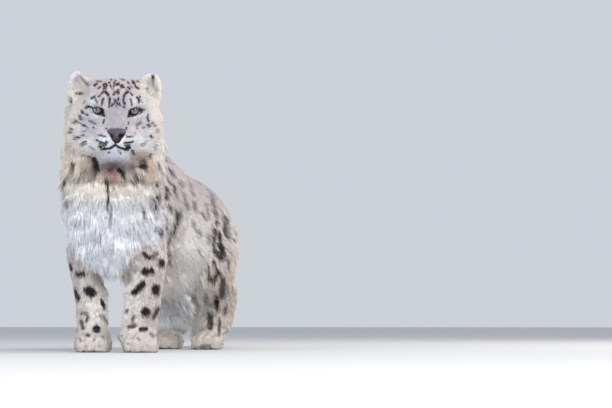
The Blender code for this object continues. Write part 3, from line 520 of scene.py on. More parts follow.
def along_tail(targets):
    """For each point near the tail, how far along it lies and which way the tail runs there."""
    steps = np.diff(TAIL_PATH, axis=0)
    lengths = np.linalg.norm(steps, axis=1)
    starts = np.concatenate(([0], np.cumsum(lengths)[:-1]))
    best = np.full(len(targets), 1e9)
    place = np.zeros(len(targets))
    way = np.zeros((len(targets), 3))
    for first, step, length, start in zip(TAIL_PATH, steps, lengths, starts):
        share = np.clip((targets - first) @ step / length**2, 0, 1)
        gap = np.linalg.norm(targets - first - share[:, None] * step, axis=1)
        closer = gap < best
        best[closer] = gap[closer]
        place[closer] = start + share[closer] * length
        way[closer] = step / length
    return place, way


lie = np.zeros((len(points), 3))
length, width, lift, density = (np.zeros(len(points)) for _ in range(4))
colour = np.zeros((len(points), 3))
for name, (long, wide, raised, dense) in COAT.items():
    here = kind == name
    length[here], width[here], lift[here], density[here] = long, wide, raised, dense

front = -skin_normals[:, 1]
topness = skin_normals[:, 2]
sideways = np.sign(base[:, 0]) * smooth(np.abs(base[:, 0]), 0.0, 0.08)
parting = (0.15 + 0.35 * smooth(base[:, 2], 0.26, 0.42)) * sideways
flow_neck = np.stack((parting, 0.9 - 1.1 * smooth(front, -0.5, 0.6), -1.0 + 0.35 * smooth(topness, 0, 0.8)), axis=1)
flow_chest = np.stack((parting, 0.9 - 1.0 * smooth(front, -0.4, 0.6), np.full(len(points), -1.0)), axis=1)
flow_torso = np.stack((0.05 * sideways, np.full(len(points), 0.9), -0.45 - 0.35 * smooth(-topness, 0.1, 0.7)), axis=1)
flow_rump = np.stack((0.05 * sideways, np.full(len(points), 0.8), -0.75 + 0.4 * smooth(topness, 0.2, 0.9)), axis=1)
flow_leg = np.tile((0.0, 0.22, -1.0), (len(points), 1))
flow_thigh = np.tile((0.0, 0.50, -0.9), (len(points), 1))
flow_paw = np.tile((0.0, -0.85, -0.55), (len(points), 1))
for name, flow in (
    ("neck", flow_neck),
    ("chest", flow_chest),
    ("torso", flow_torso),
    ("rump", flow_rump),
    ("foreleg", flow_leg),
    ("hind_leg", flow_thigh),
    ("fore_paw", flow_paw),
    ("hind_paw", flow_paw),
):
    lie[kind == name] = flow[kind == name]
tail_place, tail_way = along_tail(base)
lie[kind == "tail"] = tail_way[kind == "tail"]
flow_head = from_head(in_head - NOSE_POINT, direction=True)
lie[kind == "head"] = unit(flow_head)[kind == "head"]
lie[kind == "ear"] = (0.05, 0.25, 1.0)
lie -= (lie * skin_normals).sum(axis=1, keepdims=True) * skin_normals
lie = unit(spread(unit(lie), 14))

# The bib: long white fur on the front of the neck and chest, down to a point between the forelegs
bib_edge = 0.185 + 0.105 * smooth(np.abs(base[:, 0]), 0.0, 0.11)
above_edge = smooth(base[:, 2] - bib_edge, -0.012, 0.020)
carries_bib = np.isin(kind, ("neck", "chest", "foreleg"))
soft_front = spread(front, 30)
bib = spread(carries_bib * above_edge * smooth(soft_front, 0.05, 0.45), 6)
below_bib = spread((kind == "chest") * (1 - above_edge), 6)
for field, value, leg_value in zip((length, width, lift, density), BIB_COAT, COAT["foreleg"]):
    field += (value - field) * bib
    field += (leg_value - field) * below_bib
at_throat = smooth(base[:, 2], 0.47, 0.52)
length -= 0.014 * bib * at_throat

# Lengths on the head: least round the nose, lips and eyes, longest on the ruff behind the cheeks
from_nose = np.linalg.norm(in_head - NOSE_POINT, axis=1)
cheek = smooth(np.abs(in_head[:, 0]), 0.060, 0.100) * (1 - smooth(in_head[:, 2], 0.57, 0.63))
jaw = (1 - smooth(in_head[:, 2], 0.475, 0.50)) * smooth(0.165 - in_head[:, 1], 0.0, 0.05)
head_length = 0.0042 + 0.0022 * smooth(from_nose, 0.03, 0.12) + 0.0030 * smooth(from_nose, 0.15, 0.22)
chin = smooth(in_head[:, 1], 0.06, 0.12) * (1 - smooth(np.abs(in_head[:, 0]), 0.030, 0.055))
head_length += 0.018 * cheek + 0.011 * jaw * (1 - 0.7 * chin) + 0.008 * smooth(from_nose, 0.20, 0.26)
head_here = kind == "head"
length[head_here] = head_length[head_here]
width[head_here] = (0.0010 + 0.040 * (head_length - 0.005)).clip(0.0009, 0.002)[head_here]
density[head_here] = (130 - 4600 * (head_length - 0.004)).clip(34, 130)[head_here]
lift[head_here] = (19 + 4 * cheek + 2 * jaw)[head_here]
ear_inside = (kind == "ear") & (skin_normals @ unit(from_head([(0, 1, 0)], direction=True))[0] > 0.1)
length[ear_inside], lift[ear_inside], density[ear_inside] = 0.010, 20, 100
belly = (kind == "torso") & (skin_normals[:, 2] < -0.40) | (kind == "rump") & (skin_normals[:, 2] < -0.5)
length[belly], lift[belly], width[belly] = 0.062, 22, 0.0024
inner = skin_normals[:, 0] * np.sign(base[:, 0])
inner_thigh = (kind == "hind_leg") & ((inner < -0.1) | (front > 0.1) & (base[:, 0] < 0)) & (base[:, 2] > 0.08)
length[inner_thigh], lift[inner_thigh] = 0.056, 20
is_head = spread(head_here.astype(float), 2) > 0.5
length, width, lift, density = (
    np.where(is_head, spread(values, 4), spread(values, 22)) for values in (length, width, lift, density)
)

# Ground colours, from the pale under side to the grey back
low = smooth(-topness, -0.35, 0.55)
by_kind = {
    "neck": BACK_GREY + (WHITE - BACK_GREY) * smooth(soft_front, -0.65, -0.1)[:, None],
    "chest": BACK_GREY + (FLANK_GREY - BACK_GREY) * smooth(-topness, -0.75, -0.2)[:, None],
    "torso": BACK_GREY + (FLANK_GREY - BACK_GREY) * smooth(-topness, -0.75, -0.2)[:, None],
    "rump": BACK_GREY + (FLANK_GREY - BACK_GREY) * smooth(-topness, -0.75, -0.1)[:, None],
    "foreleg": FLANK_GREY + 0 * base,
    "hind_leg": TAN + 0 * base,
    "fore_paw": PAW_TONE + 0 * base,
    "hind_paw": PAW_TONE + 0 * base,
    "tail": BACK_GREY + (WHITE - BACK_GREY) * smooth(-topness, -0.1, 0.7)[:, None],
    "head": FACE_GREY + 0 * base,
    "ear": WHITE + 0 * base,
}
for name, values in by_kind.items():
    colour[kind == name] = values[kind == name]
body = (kind == "torso") | (kind == "rump")
colour[body] += (WHITE - colour[body]) * low[body, None]
leg = (kind == "foreleg") | (kind == "hind_leg")
colour[leg] += (WHITE - colour[leg]) * smooth(-inner, 0.0, 0.6)[leg, None]
far_thigh = (kind == "hind_leg") & (base[:, 0] < 0) & (front > -0.2)
colour[far_thigh] = SNOW
colour += (CREAM - colour) * (bib * smooth(base[:, 2], 0.34, 0.46))[:, None]
colour += (SNOW - colour) * (bib * (1 - smooth(base[:, 2], 0.34, 0.46)))[:, None]
pale_jaw = 1 - smooth(in_head[:, 2], 0.515, 0.565)
bridge = (1 - smooth(np.abs(in_head[:, 0]), 0.020, 0.032)) * smooth(in_head[:, 1], 0.095, 0.12) * smooth(in_head[:, 2], 0.535, 0.55)
face_tone = FACE_GREY + (PALE_FACE - FACE_GREY) * np.maximum(0.9 * pale_jaw, 0.75 * cheek)[:, None]
face_tone += (BRIDGE_GREY - face_tone) * bridge[:, None]
face_tone += (CHEEK_TONE - face_tone) * smooth(np.abs(in_head[:, 0]), 0.070, 0.100)[:, None]
back_of_head = smooth(-in_head[:, 1], -0.06, 0.02)
face_tone += (FLANK_GREY - face_tone) * back_of_head[:, None]
colour[head_here] = face_tone[head_here]
colour = np.where(is_head[:, None], spread(colour, 4), spread(colour, 24))

# --- Markings ----------------------------------------------------------------------------------------------------------
# Black-brown marks of the coat: small strokes and rings on the forehead, dashes on the cheeks and lips, open
# rosettes on the flanks and solid spots on the legs. On the seen side each stands where it does on the animal.
HEAD_MARKS = [  # half width and strength, then the line's points in the view
    (0.9, 1.0, 94, 85.5, 97, 83.5), (0.6, 0.8, 97, 80.8, 99.5, 81.3), (0.8, 1.0, 98.5, 88.3, 100.3, 86.5),
    (0.8, 1.0, 103, 85, 104.5, 83.6), (0.8, 1.0, 105.5, 83.6, 107, 85, 106.3, 86.3, 104, 86.5),
    (0.6, 0.8, 101.2, 81.5), (0.8, 1.0, 103.5, 89, 105.7, 88.5), (0.8, 1.0, 101.2, 93.5, 103.3, 91.6),
    (1.3, 1.0, 105.5, 91.8, 108.3, 95.2), (0.7, 1.0, 98.3, 96.8, 100, 95.3), (1.0, 0.8, 91.5, 98.5, 94.5, 96.3),
    (0.9, 0.6, 95, 98.5, 97, 102), (1.0, 0.8, 103.2, 98.5, 102, 103), (0.7, 0.6, 101.5, 104, 101.3, 105.5),
    (1.0, 1.0, 109.8, 98.3, 109.6, 102.2), (0.7, 0.8, 109.2, 103.5, 109, 106.8), (0.9, 1.0, 112.5, 104.2, 111.6, 106),
    (0.7, 0.9, 108.7, 82.8, 110, 82.3), (0.8, 0.9, 110.8, 78, 111, 79.5), (0.7, 0.9, 110.3, 85.2, 111, 86),
    (0.6, 0.5, 110.5, 87, 113.5, 89.5), (0.7, 0.9, 114, 82, 114.3, 83.5), (0.7, 0.9, 113.7, 85, 114.1, 86.5),
    (1.2, 1.0, 116.5, 84.5, 118.8, 83.5), (0.6, 0.8, 115.5, 80.5, 116.3, 81), (0.8, 1.0, 120.3, 86, 123, 84.8),
    (0.7, 1.0, 121, 87, 124.5, 87.3), (1.0, 0.6, 120, 77.8, 124, 80), (0.9, 0.8, 113.2, 94.5, 114.2, 94.3),
    (0.6, 0.8, 114, 92, 115, 92.6), (0.6, 0.8, 116, 91, 117.5, 93), (0.7, 0.9, 118.3, 89.5, 117.8, 91.5),
    (0.7, 0.9, 118.7, 92, 118.5, 94), (0.9, 1.0, 118.4, 98.3, 118.2, 100), (0.7, 0.9, 117.2, 102.5, 117.5, 104.5),
    (0.7, 0.9, 119.4, 103, 120, 105.5), (0.6, 0.7, 114.3, 99, 114.6, 102), (0.6, 0.8, 114.2, 103.5),
    (0.6, 0.8, 116.2, 100, 115.8, 101.5), (0.7, 0.5, 115.5, 105.5, 116.5, 107),
    (1.0, 1.0, 123.8, 98.3, 123.2, 101, 124.8, 103.8), (1.1, 1.0, 124, 95.8), (1.2, 1.0, 125.5, 93.4, 127.5, 92.2),
    (0.6, 0.7, 126, 89.5, 128.5, 91), (0.8, 1.0, 130.5, 92.8, 132.3, 95.2), (0.8, 0.8, 123, 106.3, 124.5, 107.2),
    (0.9, 0.7, 130.5, 99, 131.8, 105), (1.0, 1.0, 137, 97.3, 139, 99, 138.7, 102.3), (0.6, 0.8, 139.5, 96, 140.5, 97),
    (0.5, 0.5, 140, 100, 142.5, 102.5), (0.8, 1.0, 127.8, 87, 130, 89), (0.6, 0.6, 130.5, 86, 132.5, 87.5),
    (0.7, 0.9, 133, 83, 135, 84.5), (0.7, 0.9, 132, 81.5, 134.5, 82), (0.6, 0.8, 137, 81, 139, 81.8),
    (0.9, 1.0, 135.5, 86.3, 138.7, 88.6), (0.7, 0.9, 127.5, 82, 129, 83.5), (0.6, 0.8, 131.5, 79.5, 133, 80),
    (0.5, 1.0, 90.6, 107.9, 94, 107.7, 98, 107.6, 101.5, 108.5, 103.4, 110.4), (1.2, 1.0, 102.4, 110.5, 103.4, 114.2),
    (0.8, 1.0, 103.4, 113, 104.3, 116), (0.6, 0.9, 93, 111, 97, 114.2, 101, 115, 104, 115.8),
    (0.5, 1.0, 142, 109.4, 138.5, 108.6, 134, 108.5, 131, 109.4, 129.4, 111.4), (1.2, 1.0, 130.0, 111.4, 129.0, 114.8),
    (0.8, 1.0, 129, 113.8, 128.2, 116.6), (0.6, 0.9, 138.4, 112.6, 136, 115, 132, 116.2, 128.5, 116.6), (0.9, 1.0, 139.8, 110.9, 141.2, 110.2),
    (0.8, 0.8, 104, 120, 103.2, 122.8), (0.7, 0.9, 106.3, 128.3), (0.6, 0.7, 128.5, 122, 128.3, 124),
    (0.7, 0.8, 126.5, 127.5, 126.2, 129), (1.0, 1.0, 85.5, 108, 88.5, 106.3), (0.7, 1.0, 88.5, 106.3, 91, 107),
    (0.5, 0.7, 142.5, 109.3, 144.5, 109.5), (1.2, 1.0, 81.8, 111, 82.8, 113),
    (1.1, 1.0, 80, 116, 80.4, 119), (1.0, 0.9, 87, 114.8), (0.6, 0.5, 83, 103.5, 85, 101),
    (1.3, 1.0, 73.5, 123, 75.5, 121), (0.8, 0.9, 79.2, 122.5, 79.8, 123.5), (1.0, 1.0, 83.2, 125, 84.6, 126),
    (0.7, 0.8, 87.3, 127), (0.7, 0.8, 93.5, 127.5), (1.1, 0.5, 89.5, 121, 95, 123.5), (1.4, 1.0, 69.8, 132.5, 71, 129.5),
    (0.8, 0.5, 82.2, 131.5, 83.5, 131.2), (0.9, 0.8, 82.3, 135.5, 83.7, 135), (0.9, 1.0, 75.5, 136, 79, 137.5),
    (0.8, 0.9, 76, 136, 75.3, 140), (1.9, 1.0, 82.3, 144.3, 85, 142.8), (1.1, 0.5, 67.5, 145, 68, 148.5),
    (1.0, 0.5, 71, 150.5, 74, 153.5), (1.1, 0.6, 82, 156, 84.5, 156.5), (1.2, 0.7, 88, 157, 90, 158.5),
    (1.0, 0.7, 90, 146.8, 94, 149.5), (0.8, 0.8, 148, 114.5, 147.5, 119),
    (1.0, 1.0, 148, 119, 148.5, 121), (1.1, 1.0, 148.3, 124.5, 149.4, 126.3), (1.0, 0.8, 152.5, 122.5, 155, 126),
    (1.2, 0.5, 157.5, 129.5, 157.8, 131.5), (0.7, 0.7, 143, 128, 144.5, 127), (0.6, 0.7, 137.2, 128.3),
    (1.1, 0.5, 136.5, 125.5, 140, 122.5), (0.8, 0.5, 135, 133), (1.2, 1.0, 151, 136, 152, 137),
    (1.4, 1.0, 141.8, 145, 143.5, 145), (1.1, 0.7, 143.5, 144, 146.5, 142), (1.3, 0.7, 132.5, 151, 133.5, 154),
    (0.9, 0.5, 155, 149, 156.5, 146), (1.2, 0.7, 150, 158, 151, 155), (1.5, 0.8, 140, 167, 146, 167.5),
    (0.8, 0.6, 141, 165, 142, 161, 145, 161, 146, 165), (1.1, 0.6, 159.5, 165, 160, 171),
    (0.7, 0.8, 98.3, 135.3), (0.6, 0.9, 100, 135.3, 101.3, 135.3), (0.7, 0.9, 102, 135.8, 105, 136.5),
    (0.8, 1.0, 96.5, 140, 100, 142, 104.5, 143.2), (0.7, 1.0, 106, 141, 106, 145), (0.5, 0.8, 107.5, 142.5),
    (0.6, 0.9, 99, 144, 103, 144.8), (0.6, 0.9, 104, 145.5, 105, 148), (1.4, 1.0, 99.5, 146.5, 105, 149),
    (0.7, 0.7, 126.8, 137, 126.8, 135.8), (0.8, 1.0, 129, 136.8, 130.5, 136.7), (0.6, 0.8, 132.6, 136.5),
    (0.8, 1.0, 124.5, 143, 131.5, 142.3, 133, 141.5), (0.6, 0.9, 125, 145.5, 129.5, 145),
    (0.6, 0.9, 126, 147, 130, 146.5), (1.3, 1.0, 125, 149.5, 130, 147.5), (0.8, 1.0, 115.5, 140, 115.3, 145),
    (1.1, 1.0, 115.3, 145, 110, 148.5), (0.9, 1.0, 110, 148.5, 101, 149.5), (1.0, 1.0, 115.3, 145, 120, 148),
    (0.9, 1.0, 120, 148, 128, 150), (0.8, 0.8, 108.8, 152.5), (0.7, 0.7, 120.5, 152.5, 120.5, 154),
    (0.6, 0.6, 118.5, 150.8), (1.1, 0.5, 80, 76, 88, 85), (1.0, 0.8, 76, 93.5, 82, 93.2), (0.8, 0.8, 70.8, 99, 71.2, 102.5),
    (1.4, 0.9, 152.8, 75.5, 153, 78), (1.2, 0.5, 152.8, 78, 153.5, 86),
]
NECK_MARKS = [
    # The first two are painted shadow at each side of the throat, under the chin.
    (2.6, 1.0, 94, 160, 97, 170), (2.4, 1.0, 119, 171, 124, 175), (1.6, 0.8, 104.8, 179, 108, 180),
    (0.9, 1.0, 107, 183, 107.3, 193), (0.9, 0.8, 108.5, 196, 107.5, 209), (0.8, 0.6, 111.3, 210, 110, 220),
    (0.5, 0.3, 110, 222, 110, 230), (2.2, 1.0, 72.5, 165), (2.4, 0.7, 72, 170, 72, 173), (1.2, 0.7, 82, 173.5, 84, 173.5),
    (1.4, 0.8, 65, 181, 65, 183), (1.5, 0.7, 78, 181.5, 78, 183), (1.5, 0.7, 64.5, 200, 67, 203, 66, 206, 64, 205),
    (1.3, 0.4, 75, 219, 80, 221), (0.8, 0.8, 59.5, 198.5), (0.8, 0.6, 58, 190), (0.7, 0.6, 60.5, 193.5),
    (0.8, 0.4, 60, 215, 60.5, 222), (0.8, 0.5, 92, 185.5), (1.5, 0.5, 113.5, 187, 113.5, 188.5),
    (2.2, 1.0, 133, 182, 138, 181.5), (1.8, 1.0, 138.5, 179, 143, 177), (1.2, 0.7, 156.5, 186, 157.5, 186),
    (1.3, 0.9, 154, 198.5, 160, 196.5), (1.2, 0.9, 159.5, 197, 159, 203), (1.2, 0.8, 153, 200, 155, 203),
    (1.3, 0.8, 152, 208, 157, 208.5), (1.3, 0.7, 144.5, 213, 145, 217), (1.0, 0.5, 131, 229, 135, 230),
    (0.9, 0.7, 156, 231, 162, 234), (1.0, 0.6, 161, 226.5, 167, 228, 167, 231),
    (1.8, 0.8, 144, 254, 147, 257, 152, 258, 157, 254), (1.5, 0.8, 140, 167, 146, 167.5), (1.1, 0.6, 159.5, 165, 160, 171),
    (1.2, 0.7, 150, 158, 151, 155), (0.8, 0.6, 141, 165, 142, 161, 145, 161, 146, 165),
]
RIGHT_FORELEG_MARKS = [
    (1.0, 0.9, 70, 265, 71.5, 271), (3.0, 0.95, 78.5, 274.5, 90.5, 272.5), (5.0, 0.95, 88.5, 291, 91.5, 293),
    (1.8, 0.9, 75, 291, 78, 299.5), (1.5, 0.9, 101.5, 300, 104.5, 308.5),
    (1.3, 0.8, 82, 313, 86, 313.5, 88, 317, 86, 321.5), (1.3, 0.8, 81, 320, 83, 328.5),
    (1.3, 0.6, 101, 316.5, 104, 317, 107, 323), (3.8, 0.95, 96.5, 328.7, 96.5, 329.3), (1.5, 0.8, 88, 335),
    (2.2, 0.4, 104, 284, 110, 290), (2.8, 0.4, 110, 290, 121, 300), (0.9, 0.6, 80, 338, 81, 341), (0.8, 0.6, 94, 340),
    (0.9, 0.6, 103, 337, 104, 339), (0.7, 0.5, 86, 346), (0.7, 0.5, 99, 346),
]
LEFT_FORELEG_MARKS = [
    (3.0, 0.95, 161.8, 262, 161.8, 265), (4.0, 0.95, 145, 272, 150, 272), (3.2, 0.95, 134, 293, 143, 284.5),
    (4.0, 0.95, 156, 288, 156, 292), (1.2, 0.6, 165, 283, 165.5, 289), (4.6, 0.95, 146, 312, 146, 313),
    (2.1, 0.9, 154, 317, 158.5, 309.5), (1.2, 0.8, 125.5, 312, 127.3, 310.8), (1.3, 0.8, 132, 319, 134.5, 316.5),
    (1.7, 0.8, 129, 327, 134, 326.5), (0.9, 0.6, 132, 322, 136, 326), (1.8, 0.9, 140.5, 329.5, 146, 329),
    (1.5, 0.5, 151, 334, 153, 336.5), (1.8, 0.7, 144, 254, 147, 257, 152, 258, 157, 254), (0.9, 0.6, 122, 336),
    (0.9, 0.6, 138, 338, 139, 340), (0.8, 0.6, 158, 340), (0.7, 0.5, 128, 344), (0.7, 0.5, 147, 345),
]
FLANK_MARKS = [
    (0.8, 0.7, 168.5, 168, 170, 171), (1.1, 0.6, 171.5, 172, 173.5, 176.5), (0.9, 0.6, 168.5, 180, 170, 184.5),
    (1.3, 0.85, 166.5, 187, 167.5, 191.5), (1.2, 0.75, 174.5, 186.5, 175, 191), (1.2, 0.75, 169.5, 193, 168.5, 196, 166, 200),
    (1.1, 0.6, 175.5, 195.5, 178, 198), (1.3, 0.8, 169.5, 206, 170, 210.5), (1.1, 0.7, 176.5, 211, 177, 219),
    (1.3, 0.8, 181, 213, 178.5, 220, 175.5, 227, 173, 236), (1.0, 0.6, 172, 232, 170, 240, 167.5, 247),
    (0.9, 0.4, 180, 160, 186, 175, 191, 187, 194, 196), (0.8, 0.45, 182, 182, 184, 184, 183, 187),
    (1.5, 0.45, 184, 193, 185, 198), (1.3, 0.6, 186.5, 203, 188, 208), (1.5, 0.55, 194.5, 203, 195, 210),
    (1.1, 0.5, 202.5, 213, 205.5, 219.5), (0.8, 0.45, 206.5, 204, 209, 219),
    (1.2, 0.55, 211, 192, 213, 203, 215, 210, 217, 217), (1.1, 0.75, 217.5, 221, 217, 224.5),
    (1.5, 0.75, 224.5, 217, 227, 220.5), (1.2, 0.7, 224.5, 222, 225.5, 231, 227, 236), (0.8, 0.5, 227.5, 222, 229.5, 240),
    (1.4, 0.85, 219, 232.5, 220, 238, 221.5, 244, 224.5, 252, 223, 257, 220.5, 261),
    (1.2, 0.75, 215, 229, 214.5, 240, 214.5, 248, 216, 254, 220, 258), (1.3, 0.45, 193.5, 222, 194.5, 229),
    (1.0, 0.5, 197, 232, 200, 231, 201, 236, 198, 237), (1.4, 0.45, 208.5, 236, 209.5, 243), (1.1, 0.45, 199, 250, 200.5, 255),
    (1.5, 0.6, 169.5, 255, 171.5, 255), (0.8, 0.5, 169.5, 261, 170, 265),
]
HIND_MARKS = [
    (1.3, 0.8, 214, 262, 215, 267), (2.6, 0.95, 218, 272, 218, 275), (1.7, 0.85, 209.5, 279, 213, 282, 215.5, 278),
    (0.9, 0.6, 209, 267, 208.5, 278), (0.9, 0.6, 229, 260, 228.5, 269),
    (1.4, 0.75, 223.5, 278, 221.5, 285, 221, 292, 221.5, 298), (1.3, 0.7, 224.5, 280, 224, 297), (0.9, 0.5, 227.5, 285, 228, 293),
    (1.5, 0.75, 206.5, 297, 205.5, 303.5), (2.0, 0.85, 216.5, 297, 217, 307.5), (1.1, 0.6, 226, 306, 224.5, 315),
    (2.6, 0.75, 210, 315, 210, 327), (1.3, 0.65, 219.5, 320, 219, 334), (1.7, 0.5, 201, 347, 209, 346), (1.1, 0.6, 181, 348),
    (2.5, 0.4, 191, 321, 195, 328), (1.4, 0.8, 219, 245, 222, 258),
]
MARK_GROUPS = [  # solids, marks, then how much wider and darker they are made
    (("head", "ear_left", "ear_right", "neck"), HEAD_MARKS, 0.15, 1.2),
    (("neck", "chest", "head"), NECK_MARKS, 0.4, 1.3),
    (("foreleg_right", "fore_paw_right"), RIGHT_FORELEG_MARKS, 0.3, 1.1),
    (("foreleg_left", "fore_paw_left"), LEFT_FORELEG_MARKS, 0.3, 1.1),
    (("neck", "torso", "rump", "foreleg_left", "chest"), FLANK_MARKS, 0.5, 1.25),
    (("hind_leg_left", "hind_paw_left", "rump", "hind_leg_right", "torso"), HIND_MARKS, 0.4, 1.2),
]
FACE, RUFF = ("head", "ear_left", "ear_right"), ("neck", "chest", "head")
PATCHES = [  # solids, middle and reach in the view, colour, strength: soft changes of the ground colour, with patches of painted shade and of painted light among them
    # The second patch, on the crown, is partly its own warmer cream and partly painted light from above.
    (("neck",), 62, 190, 6, 28, tone(180, 170, 172), 0.5), (FACE, 115, 86, 26, 9, tone(216, 202, 198), 0.7),
    (FACE, 92, 101, 5, 4, tone(226, 228, 238), 0.9), (FACE, 135, 103, 6, 4, tone(222, 224, 236), 0.9),
    (FACE, 105, 99, 3.5, 7, tone(214, 204, 194), 0.8), (FACE, 127.5, 99, 3.5, 7, tone(214, 202, 190), 0.8),
    (FACE, 97, 117, 6, 1.8, tone(230, 230, 240), 0.8), (FACE, 135, 118, 6, 1.8, tone(230, 230, 240), 0.8),
    (FACE, 127.3, 119, 1.4, 8, tone(214, 192, 172), 0.7), (FACE, 105, 119, 1.2, 7, tone(206, 194, 186), 0.6),
    # Painted shade in the hollows of the cheeks below the eyes.
    (FACE, 90, 121, 7, 4, tone(160, 158, 172), 0.75), (FACE, 138, 123, 6, 4, tone(152, 146, 156), 0.75),
    # The last patch here, down the face's right edge, is painted shade against the rim light.
    (FACE, 88, 131, 8, 6, tone(186, 190, 206), 0.7), (FACE, 114, 155, 11, 5, tone(178, 186, 208), 0.8), (FACE, 159, 132, 6, 20, tone(200, 194, 190), 0.6),
    (FACE, 84, 88, 8, 6, tone(226, 212, 200), 0.7), (FACE, 146, 92, 8, 8, tone(226, 212, 198), 0.7),
    # The ear patches that follow are painted shade in the hollows of the ears.
    (FACE, 77, 84, 5, 8, tone(176, 178, 196), 0.85), (FACE, 149, 83, 4, 6, tone(196, 190, 194), 0.8),
    (FACE, 101, 134, 5, 3, tone(206, 190, 184), 0.6), (FACE, 130, 134, 5, 3, tone(208, 190, 182), 0.6),
    # Partly the lower cheeks' own brown and partly painted shade where the cheeks overhang the neck.
    (FACE, 84, 150, 12, 5, tone(190, 180, 176), 0.5), (FACE, 144, 153, 10, 6, tone(186, 166, 146), 0.6),
    (("foreleg_left", "torso"), 178, 226, 5, 12, tone(196, 160, 132), 0.7),
    (("hind_leg_left", "rump"), 224, 270, 14, 40, tone(216, 200, 184), 0.45),
    (("torso", "rump", "neck", "chest"), 190, 190, 18, 26, tone(186, 174, 180), 0.6),
    (("torso", "rump", "hind_leg_right"), 184, 258, 15, 46, tone(247, 245, 243), 0.95),
    (("hind_leg_left",), 196, 290, 9, 34, tone(244, 240, 236), 0.8),
    (("foreleg_left", "chest", "torso"), 164, 250, 10, 30, tone(226, 212, 198), 0.5),
    (("chest", "neck", "foreleg_left"), 150, 224, 11, 20, tone(240, 243, 250), 0.75),
    (("chest", "neck"), 110, 185, 36, 5, tone(204, 194, 184), 0.6),
    # Painted shade under the chin and the jaw, over the throat's own brown-red and pink.
    (RUFF, 112, 165, 16, 5, tone(78, 48, 42), 1.0), (RUFF, 111, 172, 10, 4, tone(160, 108, 98), 0.9),
    (RUFF, 95, 165, 4, 8, tone(60, 44, 40), 0.95), (RUFF, 131, 167, 4, 7, tone(96, 70, 58), 0.9),
    (RUFF, 146, 160, 12, 8, tone(190, 158, 126), 0.75), (RUFF, 84, 160, 13, 5, tone(180, 158, 140), 0.65),
    (RUFF, 137, 159, 7, 5, tone(140, 112, 92), 0.8), (RUFF, 91, 159, 7, 5, tone(144, 122, 108), 0.75),
]


def visible(targets, facings):
    """1 where a surface faces the camera, 0 where it faces away."""
    towards = unit(CAMERA_PLACE - targets)
    return smooth((towards * facings).sum(axis=1), 0.04, 0.20)


def drawn_darkness(targets, owners, seen, blur=0.15, each=1):
    """How dark the marks of the seen side make each point, 0 to 1. The blur sets each hair's place off by a little."""
    dark = np.zeros(len(targets))
    places = seen_at(targets) + np.repeat(random.normal(0, blur, (len(targets) // each, 2)), each, axis=0)
    for names, marks, wider, darker in MARK_GROUPS:
        group = np.flatnonzero(np.isin(owners, [FLESH.index(name) for name in names]) & (seen > 0.02))
        spot = places[group]
        for half_width, strength, *line in marks:
            line = np.array(line, float).reshape(-1, 2)
            half_width, strength = half_width + wider, min(strength * darker, 1.0)
            if len(line) == 1:
                line = np.repeat(line, 2, axis=0) + ((-0.2, 0), (0.2, 0))
            reach = half_width + 1.2
            low_corner, high_corner = line.min(axis=0) - reach, line.max(axis=0) + reach
            inside = np.flatnonzero(((spot > low_corner) & (spot < high_corner)).all(axis=1))
            if not len(inside):
                continue
            gap = np.full(len(inside), 1e9)
            for first, last in zip(line, line[1:]):
                along = last - first
                share = np.clip((spot[inside] - first) @ along / (along @ along), 0, 1)
                gap = np.minimum(gap, np.linalg.norm(spot[inside] - first - share[:, None] * along, axis=1))
            value = strength * (1 - smooth(gap, half_width - 0.35, half_width + 0.55))
            chosen = group[inside]
            dark[chosen] = np.maximum(dark[chosen], value * seen[chosen])
    return dark


# The far side's marks: centres spaced over the hide, each a ring of blots, a solid spot or a dash
BLOTS = []  # middle, radius, strength
hidden_share = 1 - visible(points, skin_normals)


def scattered(mask, spacing):
    """Places on the hide at least a spacing apart."""
    chosen = []
    order = random.permutation(np.flatnonzero(mask))
    taken = np.zeros((0, 3))
    for index in order[:6000]:
        if not len(taken) or ((taken - points[index]) ** 2).sum(axis=1).min() > spacing**2:
            taken = np.vstack((taken, points[index]))
            chosen.append(index)
    return chosen


def add_rosettes(mask, spacing, ring, blot, count, strength):
    for index in scattered(mask, spacing):
        down = lie[index]
        across = np.cross(skin_normals[index], down)
        start = random.uniform(0, 6.283)
        stretch = random.uniform(1.0, 1.45)
        for step in range(count):
            if random.random() < 0.18:
                continue
            angle = start + 6.283 * step / count + random.normal(0, 0.15)
            place = points[index] + ring * (across * math.cos(angle) + down * math.sin(angle) * stretch)
            BLOTS.append((place, blot * random.uniform(0.75, 1.25), strength * random.uniform(0.8, 1.0)))


def add_spots(mask, spacing, radius, strength):
    for index in scattered(mask, spacing):
        along = lie[index] * radius * random.uniform(0.0, 0.9)
        for shift in (-along, along):
            BLOTS.append((points[index] + shift, radius * random.uniform(0.8, 1.1), strength))


hidden = hidden_share > 0.5
trunk = np.isin(kind, ("torso", "rump")) & (topness > -0.35)
upper_thigh = (kind == "hind_leg") & (base[:, 2] > 0.26) & (inner > 0)
add_rosettes(hidden & (trunk | upper_thigh), 0.060, 0.021, 0.0085, 6, 0.62)
add_spots(hidden & (kind == "neck"), 0.042, 0.0085, 0.7)
add_spots(hidden & (kind == "head") & (in_head[:, 1] < 0.03), 0.024, 0.0042, 0.85)
add_spots(hidden & (kind == "ear"), 0.050, 0.010, 0.6)
add_spots(hidden & np.isin(kind, ("foreleg", "hind_leg")) & ~upper_thigh & (inner > -0.3), 0.040, 0.0095, 0.85)
add_spots(hidden & np.isin(kind, ("fore_paw", "hind_paw")), 0.030, 0.0055, 0.7)
tail_top = (kind == "tail") & (topness > -0.2) | (kind == "tail") & (base[:, 2] > 0.12)
add_spots(tail_top, 0.052, 0.015, 0.72)


def blotted_darkness(targets):
    """How dark the scattered marks make each point, 0 to 1."""
    tree = KDTree(len(targets))
    for index, target in enumerate(targets):
        tree.insert(target, index)
    tree.balance()
    dark = np.zeros(len(targets))
    for place, radius, strength in BLOTS:
        for _, index, gap in tree.find_range(place, radius * 1.35):
            share = min(max((radius * 1.35 - gap) / (radius * 0.7), 0), 1)
            dark[index] = max(dark[index], strength * share)
    return dark


